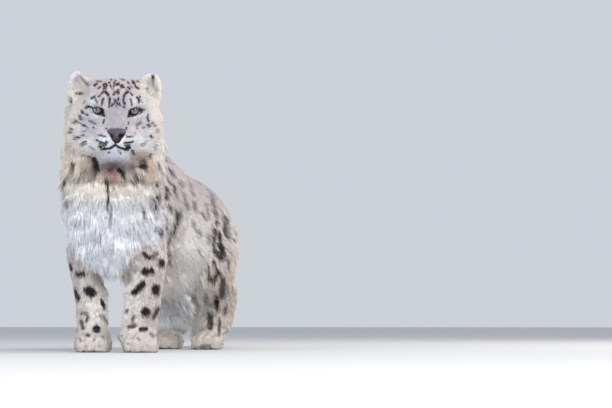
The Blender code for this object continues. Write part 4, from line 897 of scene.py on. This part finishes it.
places = seen_at(points)
facing = visible(points, skin_normals)
under = smooth((unit(CAMERA_PLACE - points) * skin_normals).sum(axis=1), -0.55, -0.2) * smooth(-points[:, 1], 0.49, 0.56)
# Ground colours, with painted shade under the chin and jaw, in the ear and cheek hollows and down the face's lit edge,
# and painted light on the crown.
for names, x, y, wide, tall, shade, strength in PATCHES:
    group = np.isin(part, [FLESH.index(name) for name in names])
    distance = ((places[:, 0] - x) / wide) ** 2 + ((places[:, 1] - y) / tall) ** 2
    share = strength * np.exp(-1.2 * distance) * (under if names is RUFF else facing) * group
    colour += (shade - colour) * share[:, None]
colour = spread(colour, 3)
skin_dark = np.maximum(drawn_darkness(points, part, facing), blotted_darkness(points) * smooth(hidden_share, 0.2, 0.8))
DARK = tone(40, 34, 38)
UNDERFUR = 0.80


def paint(mesh, values):
    layer = mesh.color_attributes.new("coat_colour", "FLOAT_COLOR", "POINT")
    data = np.ones((len(values), 4), np.float32)
    data[:, :3] = values
    layer.data.foreach_set("color", data.ravel())


paleness = smooth(colour.mean(axis=1), 0.55, 0.85)
skin_tone = colour * (UNDERFUR + 0.14 * paleness[:, None])
skin_tone += (DARK - skin_tone) * skin_dark[:, None]
rim = near_eye[:, None]
skin_tone += (tone(26, 22, 24) - skin_tone) * rim
paint(skin_mesh, skin_tone)


def fur_material(name, roughness, bump, scale):
    """Hair: the painted ground and marks, with fine light and dark strands over them."""
    material = bpy.data.materials.new(name)
    material.use_nodes = True
    nodes, links = material.node_tree.nodes, material.node_tree.links
    shader = nodes["Principled BSDF"]
    shader.inputs["Roughness"].default_value = roughness
    shader.inputs["Specular IOR Level"].default_value = 0.12
    shader.inputs["Sheen Weight"].default_value = 0.12
    shader.inputs["Sheen Roughness"].default_value = 0.5
    paint_node = nodes.new("ShaderNodeVertexColor")
    paint_node.layer_name = "coat_colour"
    place_node = nodes.new("ShaderNodeTexCoord")
    strands = nodes.new("ShaderNodeTexNoise")
    strands.inputs["Scale"].default_value = scale
    strands.inputs["Detail"].default_value = 3
    links.new(place_node.outputs["Object"], strands.inputs["Vector"])
    span = nodes.new("ShaderNodeMapRange")
    span.inputs["From Min"].default_value = 0.3
    span.inputs["From Max"].default_value = 0.7
    span.inputs["To Min"].default_value = 0.80
    span.inputs["To Max"].default_value = 1.10
    links.new(strands.outputs["Fac"], span.inputs["Value"])
    scaled = nodes.new("ShaderNodeVectorMath")
    scaled.operation = "SCALE"
    links.new(paint_node.outputs["Color"], scaled.inputs[0])
    links.new(span.outputs["Result"], scaled.inputs["Scale"])
    links.new(scaled.outputs["Vector"], shader.inputs["Base Color"])
    relief = nodes.new("ShaderNodeBump")
    relief.inputs["Strength"].default_value = bump
    relief.inputs["Distance"].default_value = 0.0006
    links.new(strands.outputs["Fac"], relief.inputs["Height"])
    links.new(relief.outputs["Normal"], shader.inputs["Normal"])
    return material


hide = fur_material("hide", 0.9, 0.6, 700)
skin_mesh.materials.append(hide)
hair = fur_material("hair", 0.85, 0.0, 170)


def unwrapped(mesh, margin=0.003):
    """Gives a mesh the OFBake map of its faces, unfolded by smart projection."""
    mesh.uv_layers.new(name="OFBake")
    holder = scene_object("unwrap", mesh)
    bpy.context.view_layer.objects.active = holder
    holder.select_set(True)
    bpy.ops.object.mode_set(mode="EDIT")
    bpy.ops.mesh.select_all(action="SELECT")
    bpy.ops.uv.smart_project(angle_limit=math.radians(66), island_margin=margin)
    bpy.ops.object.mode_set(mode="OBJECT")
    holder.select_set(False)
    drop(holder)
    corners = np.empty(len(mesh.loops) * 2, np.float32)
    mesh.uv_layers["OFBake"].data.foreach_get("uv", corners)
    return corners.reshape(-1, 2)


# --- Coat ----------------------------------------------------------------------------------------------------------------
# Tufts of fur over the whole hide. Each is a thin closed spindle rooted under the skin, laid along the coat's lie,
# with longer ones gathered into locks at their tips; every part of the body has its own piece.
PIECES = [  # name, solids, most tufts, tufts to a lock, slot
    ("coat_face_right", ("head",), 25000, 12, "fur"),
    ("coat_face_left", ("head",), 25000, 12, "fur"),
    ("coat_nape", ("head", "ear_left", "ear_right"), 24500, 12, "fur"),
    ("coat_neck", ("neck",), 29000, 22, "pale_fur"),
    ("coat_bib", ("chest",), 32500, 22, "pale_fur"),
    ("coat_left_flank", ("torso",), 18500, 22, "fur"),
    ("coat_right_flank", ("torso",), 15000, 22, "fur"),
    ("coat_rump", ("rump",), 15000, 22, "fur"),
    ("coat_forelegs", ("foreleg_left", "foreleg_right"), 18500, 12, "fur"),
    ("coat_paws", ("fore_paw_left", "fore_paw_right", "hind_paw_left", "hind_paw_right"), 12500, 12, "fur"),
    ("coat_hind_legs", ("hind_leg_left", "hind_leg_right"), 19500, 12, "fur"),
    ("coat_tail", ("tail_base", "tail_middle", "tail_tip"), 15000, 22, "fur"),
]
SIDES = np.array([(0, 2, 1), (0, 3, 2), (0, 1, 3), (4, 1, 2), (4, 2, 3), (4, 3, 1)])  # root, ring of three, tip
RING = (0.46, 0.62)  # share of a tuft's length, and of its rise, at its widest place
LEAST_HEIGHT = 0.0008
face_part = part[triangles[:, 0]]
face_middle = points[triangles].mean(axis=1)
face_local = to_head(face_middle)
face_area = 0.5 * np.linalg.norm(
    np.cross(points[triangles[:, 1]] - points[triangles[:, 0]], points[triangles[:, 2]] - points[triangles[:, 0]]), axis=1
)
in_opening = np.zeros(len(points), bool)
for side in (-1, 1):
    centre, across, up, gaze = eye_axes(side)
    offset = points - centre
    away, _ = outside_by(np.stack((offset @ across, offset @ up), axis=1), opening_of(side))
    in_opening |= (away < 0.0030) & (offset @ gaze > -0.004) & (np.linalg.norm(offset, axis=1) < 0.03)
nose_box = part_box("nose")
nose_middle = to_head(np.array([(nose_box[0] + nose_box[1]) / 2]))[0]
bare = in_opening | (np.linalg.norm((in_head - nose_middle) / (0.023, 0.022, 0.017), axis=1) < 1)
face_bare = bare[triangles].any(axis=1)


def tufts_on(chosen, most, gathered):
    """Roots, shapes and colours of the tufts that grow on the chosen faces of the skin."""
    weight = face_area[chosen] * density[triangles[chosen]].mean(axis=1) * 1e4
    count = min(int(weight.sum()), most)
    picked = chosen[random.choice(len(chosen), count, p=weight / weight.sum())]
    share = random.dirichlet((1, 1, 1), count)
    corners = triangles[picked]

    def at_root(field):
        return (field[corners].reshape(count, 3, -1) * share[:, :, None]).sum(axis=1).squeeze()

    root, normal = at_root(points), unit(at_root(skin_normals))
    way = at_root(lie) + random.normal(0, 0.11, (count, 3))
    way = unit(way - (way * normal).sum(axis=1, keepdims=True) * normal)
    across = np.cross(normal, way)
    reach = at_root(length) * random.uniform(0.70, 1.15, count)
    half = 0.5 * (at_root(width) * random.uniform(0.75, 1.25, count))[:, None]
    raised = np.radians(at_root(lift) * random.uniform(0.55, 1.35, count))
    tip_flat = way * (reach * np.cos(raised))[:, None] + across * (reach * random.normal(0, 0.06, count))[:, None]
    tip_up = (reach * np.sin(raised))[:, None]
    clump = np.ones(count)
    if gathered:
        middles = root[random.choice(count, max(count // gathered, 1), replace=False)]
        tree = KDTree(len(middles))
        for index, middle in enumerate(middles):
            tree.insert(middle, index)
        tree.balance()
        nearest = np.array([tree.find(place)[1] for place in root])
        clump = random.uniform(0.84, 1.06, len(middles))[nearest]
        pulled = middles[nearest] - root
        tip_flat = tip_flat + 0.45 * (pulled - (pulled * normal).sum(axis=1, keepdims=True) * normal)
    middle, rise = root + tip_flat * RING[0], tip_up * RING[1]
    shape = [
        root - normal * 0.0006,
        middle + across * half + normal * (rise - 0.15 * half),
        middle + normal * (rise + 0.8 * half),
        middle - across * half + normal * (rise - 0.15 * half),
        root + tip_flat + normal * tip_up,
    ]
    shape = np.stack(shape, axis=1)
    shape[:, :, 2] = np.maximum(shape[:, :, 2], LEAST_HEIGHT)
    flat = np.stack((root, middle, middle, middle, root + tip_flat), axis=1)
    return picked, share, shape, flat, normal, at_root(colour), clump, at_root(paleness)


for name, solids, most, gathered, slot in PIECES:
    mask = np.isin(face_part, [FLESH.index(solid) for solid in solids]) & ~face_bare
    if name == "coat_nape":
        mask &= (face_local[:, 1] <= 0.045) | (face_part != FLESH.index("head"))
    elif name == "coat_face_left":
        mask &= (face_local[:, 1] > 0.045) & (face_local[:, 0] > 0)
    elif name == "coat_face_right":
        mask &= (face_local[:, 1] > 0.045) & (face_local[:, 0] <= 0)
    elif name == "coat_left_flank":
        mask &= face_middle[:, 0] > ORIGIN[0]
    elif name == "coat_right_flank":
        mask &= face_middle[:, 0] <= ORIGIN[0]
    chosen = np.flatnonzero(mask)
    patch = bpy.data.meshes.new("patch")
    used, renumbered = np.unique(triangles[chosen], return_inverse=True)
    patch.from_pydata(points[used].tolist(), [], renumbered.reshape(-1, 3).tolist())
    chart = unwrapped(patch).reshape(-1, 3, 2)
    row_of = np.full(len(triangles), -1)
    row_of[chosen] = np.arange(len(chosen))
    picked, share, shape, flat, normal, ground, clump, pale = tufts_on(chosen, most, gathered)
    count, size = shape.shape[:2]
    sides = SIDES
    owners = np.repeat(face_part[picked], size)
    flat_points = flat.reshape(-1, 3)
    seen = np.repeat(visible(flat[:, 0], normal), size)
    dark = drawn_darkness(shape.reshape(-1, 3), owners, seen, 0.25 if name.startswith("coat_face") else 0.55, size)
    dark = np.maximum(dark, blotted_darkness(flat_points) * smooth(1 - seen, 0.2, 0.8)).reshape(count, size)
    dark[:, 0] = dark[:, 1]
    dark[:, 1:4] = dark[:, 1:4].mean(axis=1, keepdims=True)
    # Painted shade and highlight: each tuft is darker at its root, where the coat shades itself, and lighter at its
    # tip, less so on pale fur, with a random tone for each tuft and lock.
    light = np.array((0.78, 0.96, 0.98, 0.96, 1.06)) * (random.uniform(0.90, 1.05, count) * clump)[:, None]
    light += (1.0 - light) * 0.75 * pale[:, None]
    tint = ground[:, None, :] * light[:, :, None]
    tint += (DARK - tint) * dark[:, :, None]
    mesh = bpy.data.meshes.new(name)
    mesh.vertices.add(count * size)
    mesh.vertices.foreach_set("co", shape.astype(np.float32).ravel())
    corners = (sides.ravel()[None, :] + size * np.arange(count)[:, None]).astype(np.int32)
    mesh.loops.add(corners.size)
    mesh.loops.foreach_set("vertex_index", corners.ravel())
    mesh.polygons.add(count * len(sides))
    mesh.polygons.foreach_set("loop_start", np.arange(0, corners.size, 3, dtype=np.int32))
    mesh.update(calc_edges=True)
    mesh.shade_smooth()
    laid = unit(0.45 * normals_of(mesh) + 0.75 * np.repeat(normal, size, axis=0))
    mesh.normals_split_custom_set_from_vertices(laid.tolist())
    paint(mesh, tint.reshape(-1, 3).clip(0, 1))
    spot = (chart[row_of[picked]] * share[:, :, None]).sum(axis=1)
    steps = np.linspace(-0.0015, 0.0015, size)
    patch_place = spot[:, None, :] + np.stack((steps * 0.6, steps), axis=1)[None]
    cover = mesh.uv_layers.new(name="OFBake")
    per_corner = patch_place[:, sides.ravel()].astype(np.float32).clip(0.0005, 0.9995)
    cover.data.foreach_set("uv", per_corner.ravel())
    mesh.materials.append(hair)
    coat = scene_object(name, mesh)
    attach(coat, "root")
    print(name, count, "of", round(float((face_area[chosen] * density[triangles[chosen]].mean(axis=1) * 1e4).sum())), round(float(face_area[chosen].sum() * 1e4)), "cm2")

# --- Eyes --------------------------------------------------------------------------------------------------------------
# Glass-clear eyeballs in their sockets: a pale grey-green iris with fine spokes, a small round pupil
# and a dark rim, wet all over, with the upper lid's shadow painted across the top of the iris.
PUPIL_UP = math.radians(13)


def eye_material():
    material = bpy.data.materials.new("eye")
    material.use_nodes = True
    nodes, links = material.node_tree.nodes, material.node_tree.links
    shader = nodes["Principled BSDF"]
    shader.inputs["Roughness"].default_value = 0.06
    shader.inputs["Coat Weight"].default_value = 0.6
    shader.inputs["Coat Roughness"].default_value = 0.02
    angle = nodes.new("ShaderNodeAttribute")
    angle.attribute_name = "from_pupil"
    ramp = nodes.new("ShaderNodeValToRGB")
    links.new(angle.outputs["Fac"], ramp.inputs["Fac"])
    stops = ramp.color_ramp.elements
    stops[0].position, stops[0].color = 0.0, (0.004, 0.004, 0.005, 1)
    stops[1].position, stops[1].color = 1.0, (0.05, 0.04, 0.04, 1)
    for position, shade in (
        (0.15, tone(8, 8, 9)),
        (0.20, tone(70, 80, 74)),
        (0.36, tone(98, 104, 101)),
        (0.56, tone(120, 126, 122)),
        (0.65, tone(48, 54, 52)),
        (0.70, tone(12, 10, 12)),
    ):
        stop = stops.new(position)
        stop.color = (*shade, 1)
    place_node = nodes.new("ShaderNodeTexCoord")
    flecks = nodes.new("ShaderNodeTexNoise")
    flecks.inputs["Scale"].default_value = 900
    flecks.inputs["Detail"].default_value = 4
    links.new(place_node.outputs["Object"], flecks.inputs["Vector"])
    span = nodes.new("ShaderNodeMapRange")
    span.inputs["To Min"].default_value = 0.7
    span.inputs["To Max"].default_value = 1.25
    links.new(flecks.outputs["Fac"], span.inputs["Value"])
    shade = nodes.new("ShaderNodeAttribute")
    shade.attribute_name = "lid_shade"
    both = nodes.new("ShaderNodeMath")
    both.operation = "MULTIPLY"
    links.new(span.outputs["Result"], both.inputs[0])
    links.new(shade.outputs["Fac"], both.inputs[1])
    scaled = nodes.new("ShaderNodeVectorMath")
    scaled.operation = "SCALE"
    links.new(ramp.outputs["Color"], scaled.inputs[0])
    links.new(both.outputs["Value"], scaled.inputs["Scale"])
    links.new(scaled.outputs["Vector"], shader.inputs["Base Color"])
    return material


eye_finish = eye_material()
for side, name in ((-1, "right"), (1, "left")):
    centre, across, up, gaze = eye_axes(side)
    looks = gaze * math.cos(PUPIL_UP) + up * math.sin(PUPIL_UP)
    turn = Matrix((across * side, up, gaze)).transposed().to_4x4()
    ball = bmesh.new()
    bmesh.ops.create_uvsphere(ball, u_segments=64, v_segments=48, radius=EYE_RADIUS)
    bmesh.ops.transform(ball, matrix=Matrix.Translation(Vector(centre)) @ turn, verts=ball.verts)
    mesh = bpy.data.meshes.new("eyeball_" + name)
    ball.to_mesh(mesh)
    ball.free()
    surface = unit(positions(mesh) - centre)
    angle = np.arccos((surface @ looks).clip(-1, 1))
    layer = mesh.attributes.new("from_pupil", "FLOAT", "POINT")
    layer.data.foreach_set("value", angle.clip(0, 1).astype(np.float32))
    # Painted shadow of the upper lid: the iris darkens towards its top, and is lightened a little below.
    layer = mesh.attributes.new("lid_shade", "FLOAT", "POINT")
    height = surface @ up * EYE_RADIUS
    layer.data.foreach_set("value", (1.1 - 0.85 * smooth(height, -0.003, 0.007)).astype(np.float32))
    bulge = 0.0007 * (1 - smooth(angle, 0.3, 0.75))
    move_to(mesh, positions(mesh) + surface * bulge[:, None])
    mesh.shade_smooth()
    mesh.materials.append(eye_finish)
    eyeball = scene_object("eyeball_" + name, mesh)
    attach(eyeball, "root")
    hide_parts("eye_" + name)

# --- Lids ------------------------------------------------------------------------------------------------------------
# Thin folds of skin over each eyeball: black, bare and moist at the edge, with the face's short fur
# beyond it. The upper one runs nearly straight, and both are drawn down to the inner corner.
LID_RINGS = [  # millimetres outwards from the opening, and over the eyeball
    (0.0, 0.3), (0.3, 1.1), (1.0, 1.7), (2.0, 1.9), (3.2, 1.5), (4.6, 0.2), (4.0, -1.0), (0.3, -0.6),
]


def leather_material(name, ground, roughness, scale):
    """Bare, pebbled skin."""
    material = bpy.data.materials.new(name)
    material.use_nodes = True
    nodes, links = material.node_tree.nodes, material.node_tree.links
    shader = nodes["Principled BSDF"]
    shader.inputs["Roughness"].default_value = roughness
    place_node = nodes.new("ShaderNodeTexCoord")
    pebbles = nodes.new("ShaderNodeTexVoronoi")
    pebbles.inputs["Scale"].default_value = scale
    links.new(place_node.outputs["Object"], pebbles.inputs["Vector"])
    blend = nodes.new("ShaderNodeMapRange")
    blend.inputs["From Max"].default_value = 0.6
    blend.inputs["To Min"].default_value = 0.65
    blend.inputs["To Max"].default_value = 1.15
    links.new(pebbles.outputs["Distance"], blend.inputs["Value"])
    scaled = nodes.new("ShaderNodeVectorMath")
    scaled.operation = "SCALE"
    scaled.inputs[0].default_value = ground
    links.new(blend.outputs["Result"], scaled.inputs["Scale"])
    links.new(scaled.outputs["Vector"], shader.inputs["Base Color"])
    relief = nodes.new("ShaderNodeBump")
    relief.inputs["Strength"].default_value = 0.4
    relief.inputs["Distance"].default_value = 0.0004
    links.new(pebbles.outputs["Distance"], relief.inputs["Height"])
    links.new(relief.outputs["Normal"], shader.inputs["Normal"])
    return material


def cord_along(name, path, radii, closed=False):
    """A round strand along a path of points, thick as each point says."""
    curve = bpy.data.curves.new(name, "CURVE")
    curve.dimensions = "3D"
    curve.bevel_depth = 1.0
    curve.bevel_resolution = 3
    curve.use_fill_caps = True
    line = curve.splines.new("POLY")
    line.points.add(len(path) - 1)
    for point, place, radius in zip(line.points, path, radii):
        point.co = (*place, 1)
        point.radius = radius
    line.use_cyclic_u = closed
    strand = scene_object(name, curve)
    made = baked(strand, name)
    drop(strand)
    return made


black_rim = leather_material("lid_rim", (0.010, 0.008, 0.009), 0.35, 900)
lid_skin = fur_material("lid_skin", 0.6, 0.4, 900)
for side, name in ((-1, "right"), (1, "left")):
    centre, across, up, gaze = eye_axes(side)
    lid_line = opening_of(side)
    run = unit(np.roll(lid_line, -1, axis=0) - np.roll(lid_line, 1, axis=0))
    outwards = np.stack((run[:, 1], -run[:, 0]), axis=1)
    outwards *= np.sign((outwards * (lid_line - lid_line.mean(axis=0))).sum(axis=1).mean())
    lid = bmesh.new()
    loops = []
    for out, over in LID_RINGS:
        flat = lid_line + 0.001 * out * outwards
        ball = (EYE_RADIUS + 0.001 * over) ** 2 - (flat**2).sum(axis=1)
        height = np.sqrt(np.maximum(ball, 0.0000016))
        ring = centre + flat[:, :1] * across + flat[:, 1:] * up + height[:, None] * gaze
        made = bmesh.ops.create_circle(lid, segments=len(ring), radius=1.0)["verts"]
        for vert, place in zip(made, ring):
            vert.co = place
        loops.append(list({edge for vert in made for edge in vert.link_edges}))
    for first, second in zip(loops, loops[1:] + loops[:1]):
        bmesh.ops.bridge_loops(lid, edges=first + second)
    bmesh.ops.recalc_face_normals(lid, faces=lid.faces)
    mesh = bpy.data.meshes.new("lids_" + name)
    lid.to_mesh(mesh)
    lid.free()
    spots = positions(mesh)
    offset = spots - centre
    away, _ = outside_by(np.stack((offset @ across, offset @ up), axis=1), lid_line)
    tint = np.tile(tone(222, 220, 228), (len(spots), 1))
    tint[(offset @ up) > 0.002] = tone(178, 170, 178)
    owner = np.full(len(spots), FLESH.index("head"))
    edge = np.maximum(1 - smooth(away, 0.0012, 0.0022), drawn_darkness(spots, owner, np.ones(len(spots))))
    tint += (tone(16, 13, 15) - tint) * edge[:, None]
    paint(mesh, tint)
    mesh.shade_smooth()
    mesh.materials.append(lid_skin)
    lids = scene_object("lids_" + name, mesh)
    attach(lids, "root")

# --- Nose leather -----------------------------------------------------------------------------------------------------------
# Bare, pebbled leather, dark slate-purple and reddish below, lighter above where a painted highlight lies over its own
# colour, with deep nostrils painted black for the shade in them, set into the muzzle.
nose = remeshed(merged_copy(["nose"], "nose_leather", 0.0003), "nose_leather", 0.0009, 3)
nose.data.shade_smooth()
leather_points = positions(nose.data)
middle = leather_points.mean(axis=0)
to_right = (leather_points - middle) @ camera_axes[:, 0]
leather_points += (0.15 * to_right - 0.0064)[:, None] * camera_axes[:, 0] + 0.0022 * camera_axes[:, 1]
spots = seen_at(leather_points)
hollow = np.zeros(len(spots))
for x in (110.6, 121.1):
    hollow += 1 - smooth(np.hypot((spots[:, 0] - x) / 3.6, (spots[:, 1] - 135.8) / 2.9), 0.6, 1.0)
move_to(nose.data, leather_points - 0.0030 * hollow[:, None] * normals_of(nose.data))
# Lighter towards the top: partly the leather's own slate colour, partly a painted highlight.
level = (142.4 - spots[:, 1]) / 12.5
tint = tone(26, 18, 22) + (tone(56, 42, 53) - tone(26, 18, 22)) * smooth(level, 0.2, 0.5)[:, None]
tint += (tone(74, 66, 83) - tint) * smooth(level, 0.66, 0.95)[:, None]
# The nostrils are painted near black for the shade inside them.
tint += (tone(5, 3, 4) - tint) * smooth(hollow, 0.15, 0.6)[:, None]
gap = np.hypot((spots[:, 0] - 115.9) / 1.0, (spots[:, 1] - 140.0) / 3.5)
tint += (tone(30, 20, 24) - tint) * 0.7 * (1 - smooth(gap, 0.5, 1.2))[:, None]
paint(nose.data, tint)
leather = leather_material("nose_leather", (0.2, 0.2, 0.2), 0.38, 1100)
painted = leather.node_tree.nodes.new("ShaderNodeVertexColor")
painted.layer_name = "coat_colour"
scaled = next(node for node in leather.node_tree.nodes if node.type == "VECT_MATH")
leather.node_tree.links.new(painted.outputs["Color"], scaled.inputs[0])
nose.data.materials.append(leather)
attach(nose, "root")
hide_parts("nose")

# --- Lips ---------------------------------------------------------------------------------------------------------------
# The black edges of the lips, bare and moist, in the fold of the mouth, and the split below the nose.
LIP_RADIUS = 0.0015
surface = BVHTree.FromPolygons(positions(skin.data).tolist(), triangles.tolist())


def on_hide(spot):
    """The place of the hide that a place in the view shows."""
    way = np.array(((spot[0] - VIEW_SIZE[0] / 2) / FOCAL_PIXELS, (VIEW_SIZE[1] / 2 - spot[1]) / FOCAL_PIXELS, -1.0))
    return np.array(surface.ray_cast(Vector(CAMERA_PLACE), Vector(camera_axes @ way))[0])


for name, line, size in zip(("lip_split", "lip_right", "lip_left"), MOUTH_LINES, (0.6, 1.0, 1.0)):
    fine = [first + (last - first) * t for first, last in zip(line, line[1:]) for t in (0, 0.34, 0.67)] + [line[-1]]
    path = np.array([on_hide(spot) for spot in fine])
    for _ in range(3):
        path[1:-1] = 0.5 * path[1:-1] + 0.25 * (path[:-2] + path[2:])
    taper = 1.0 - 0.5 * np.linspace(0, 1, len(path)) ** 2
    lip = cord_along(name, path, LIP_RADIUS * size * taper)
    lip.data.shade_smooth()
    lip.data.materials.append(black_rim)
    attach(lip, "root")

# --- Whiskers ----------------------------------------------------------------------------------------------------------------
# Stiff white bristles in four rows on each lip pad, each rooted in the skin.
WHISKER_ROWS = [  # height of the row, first and last place forward, number, length
    (0.533, 0.176, 0.150, 4, 0.060),
    (0.526, 0.180, 0.150, 5, 0.085),
    (0.518, 0.181, 0.152, 5, 0.090),
    (0.510, 0.178, 0.156, 4, 0.070),
]
whiskers = bmesh.new()
pieces = []
for side in (-1, 1):
    for height, first, last, count, longest in WHISKER_ROWS:
        for step in range(count):
            share = step / (count - 1)
            forward = first + (last - first) * share
            root = np.array((side * (0.026 + 0.030 * share), forward, height))
            reach = longest * (0.55 + 0.45 * share) * random.uniform(0.85, 1.1)
            way = np.array((side * (0.80 + 0.1 * share), 0.35 - 0.65 * share, -0.10 - 0.25 * (0.533 - height) / 0.02))
            way /= np.linalg.norm(way)
            path = [root + way * reach * t + np.array((0, -0.25 * t * t, -0.22 * t * t)) * reach for t in np.linspace(0, 1, 9)]
            radii = 0.00050 * (1 - 0.85 * np.linspace(0, 1, 9))
            pieces.append(cord_along("bristle", from_head(path), radii))
for piece in pieces:
    whiskers.from_mesh(piece.data)
drop(*pieces)
mesh = bpy.data.meshes.new("whiskers")
whiskers.to_mesh(mesh)
whiskers.free()
mesh.shade_smooth()
bristle = leather_material("bristle", (0.78, 0.77, 0.75), 0.4, 400)
mesh.materials.append(bristle)
whisker_piece = scene_object("whiskers", mesh)
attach(whisker_piece, "root")

# --- Floor and light -------------------------------------------------------------------------------------------------------
# A plain pale studio: a wide floor, an even surround, a large soft key from the animal's left and a rim light.
floor_mesh = bmesh.new()
bmesh.ops.create_grid(floor_mesh, x_segments=1, y_segments=1, size=40)
mesh = bpy.data.meshes.new("floor")
floor_mesh.to_mesh(mesh)
floor_mesh.free()
floor = scene_object("floor", mesh)
plain = bpy.data.materials.new("floor")
plain.use_nodes = True
plain.node_tree.nodes["Principled BSDF"].inputs["Base Color"].default_value = (0.62, 0.62, 0.63, 1)
plain.node_tree.nodes["Principled BSDF"].inputs["Roughness"].default_value = 0.9
mesh.materials.append(plain)

surround = bpy.data.worlds.new("surround")
surround.use_nodes = True
surround.node_tree.nodes["Background"].inputs["Color"].default_value = (0.82, 0.86, 0.93, 1)
surround.node_tree.nodes["Background"].inputs["Strength"].default_value = 0.74
bpy.context.scene.world = surround


def soft_light(name, place, target, size, power, shade):
    lamp = bpy.data.lights.new(name, "AREA")
    lamp.size = size
    lamp.energy = power
    lamp.color = shade
    holder = scene_object(name, lamp)
    holder.location = place
    holder.rotation_euler = (Vector(target) - Vector(place)).to_track_quat("-Z", "Y").to_euler()


soft_light("key", (2.4, -3.2, 2.6), (0.05, -0.3, 0.4), 2.0, 92, (1.0, 0.98, 0.95))
soft_light("rim", (2.6, 1.6, 2.2), (0.05, -0.3, 0.4), 1.6, 70, (1.0, 0.96, 0.90))
soft_light("low", (2.6, -4.0, 0.5), (0.1, -0.2, 0.25), 1.6, 29, (1.0, 0.99, 0.97))
soft_light("fill", (-1.6, -4.0, 1.0), (0.05, -0.4, 0.35), 2.5, 71, (0.95, 0.97, 1.0))
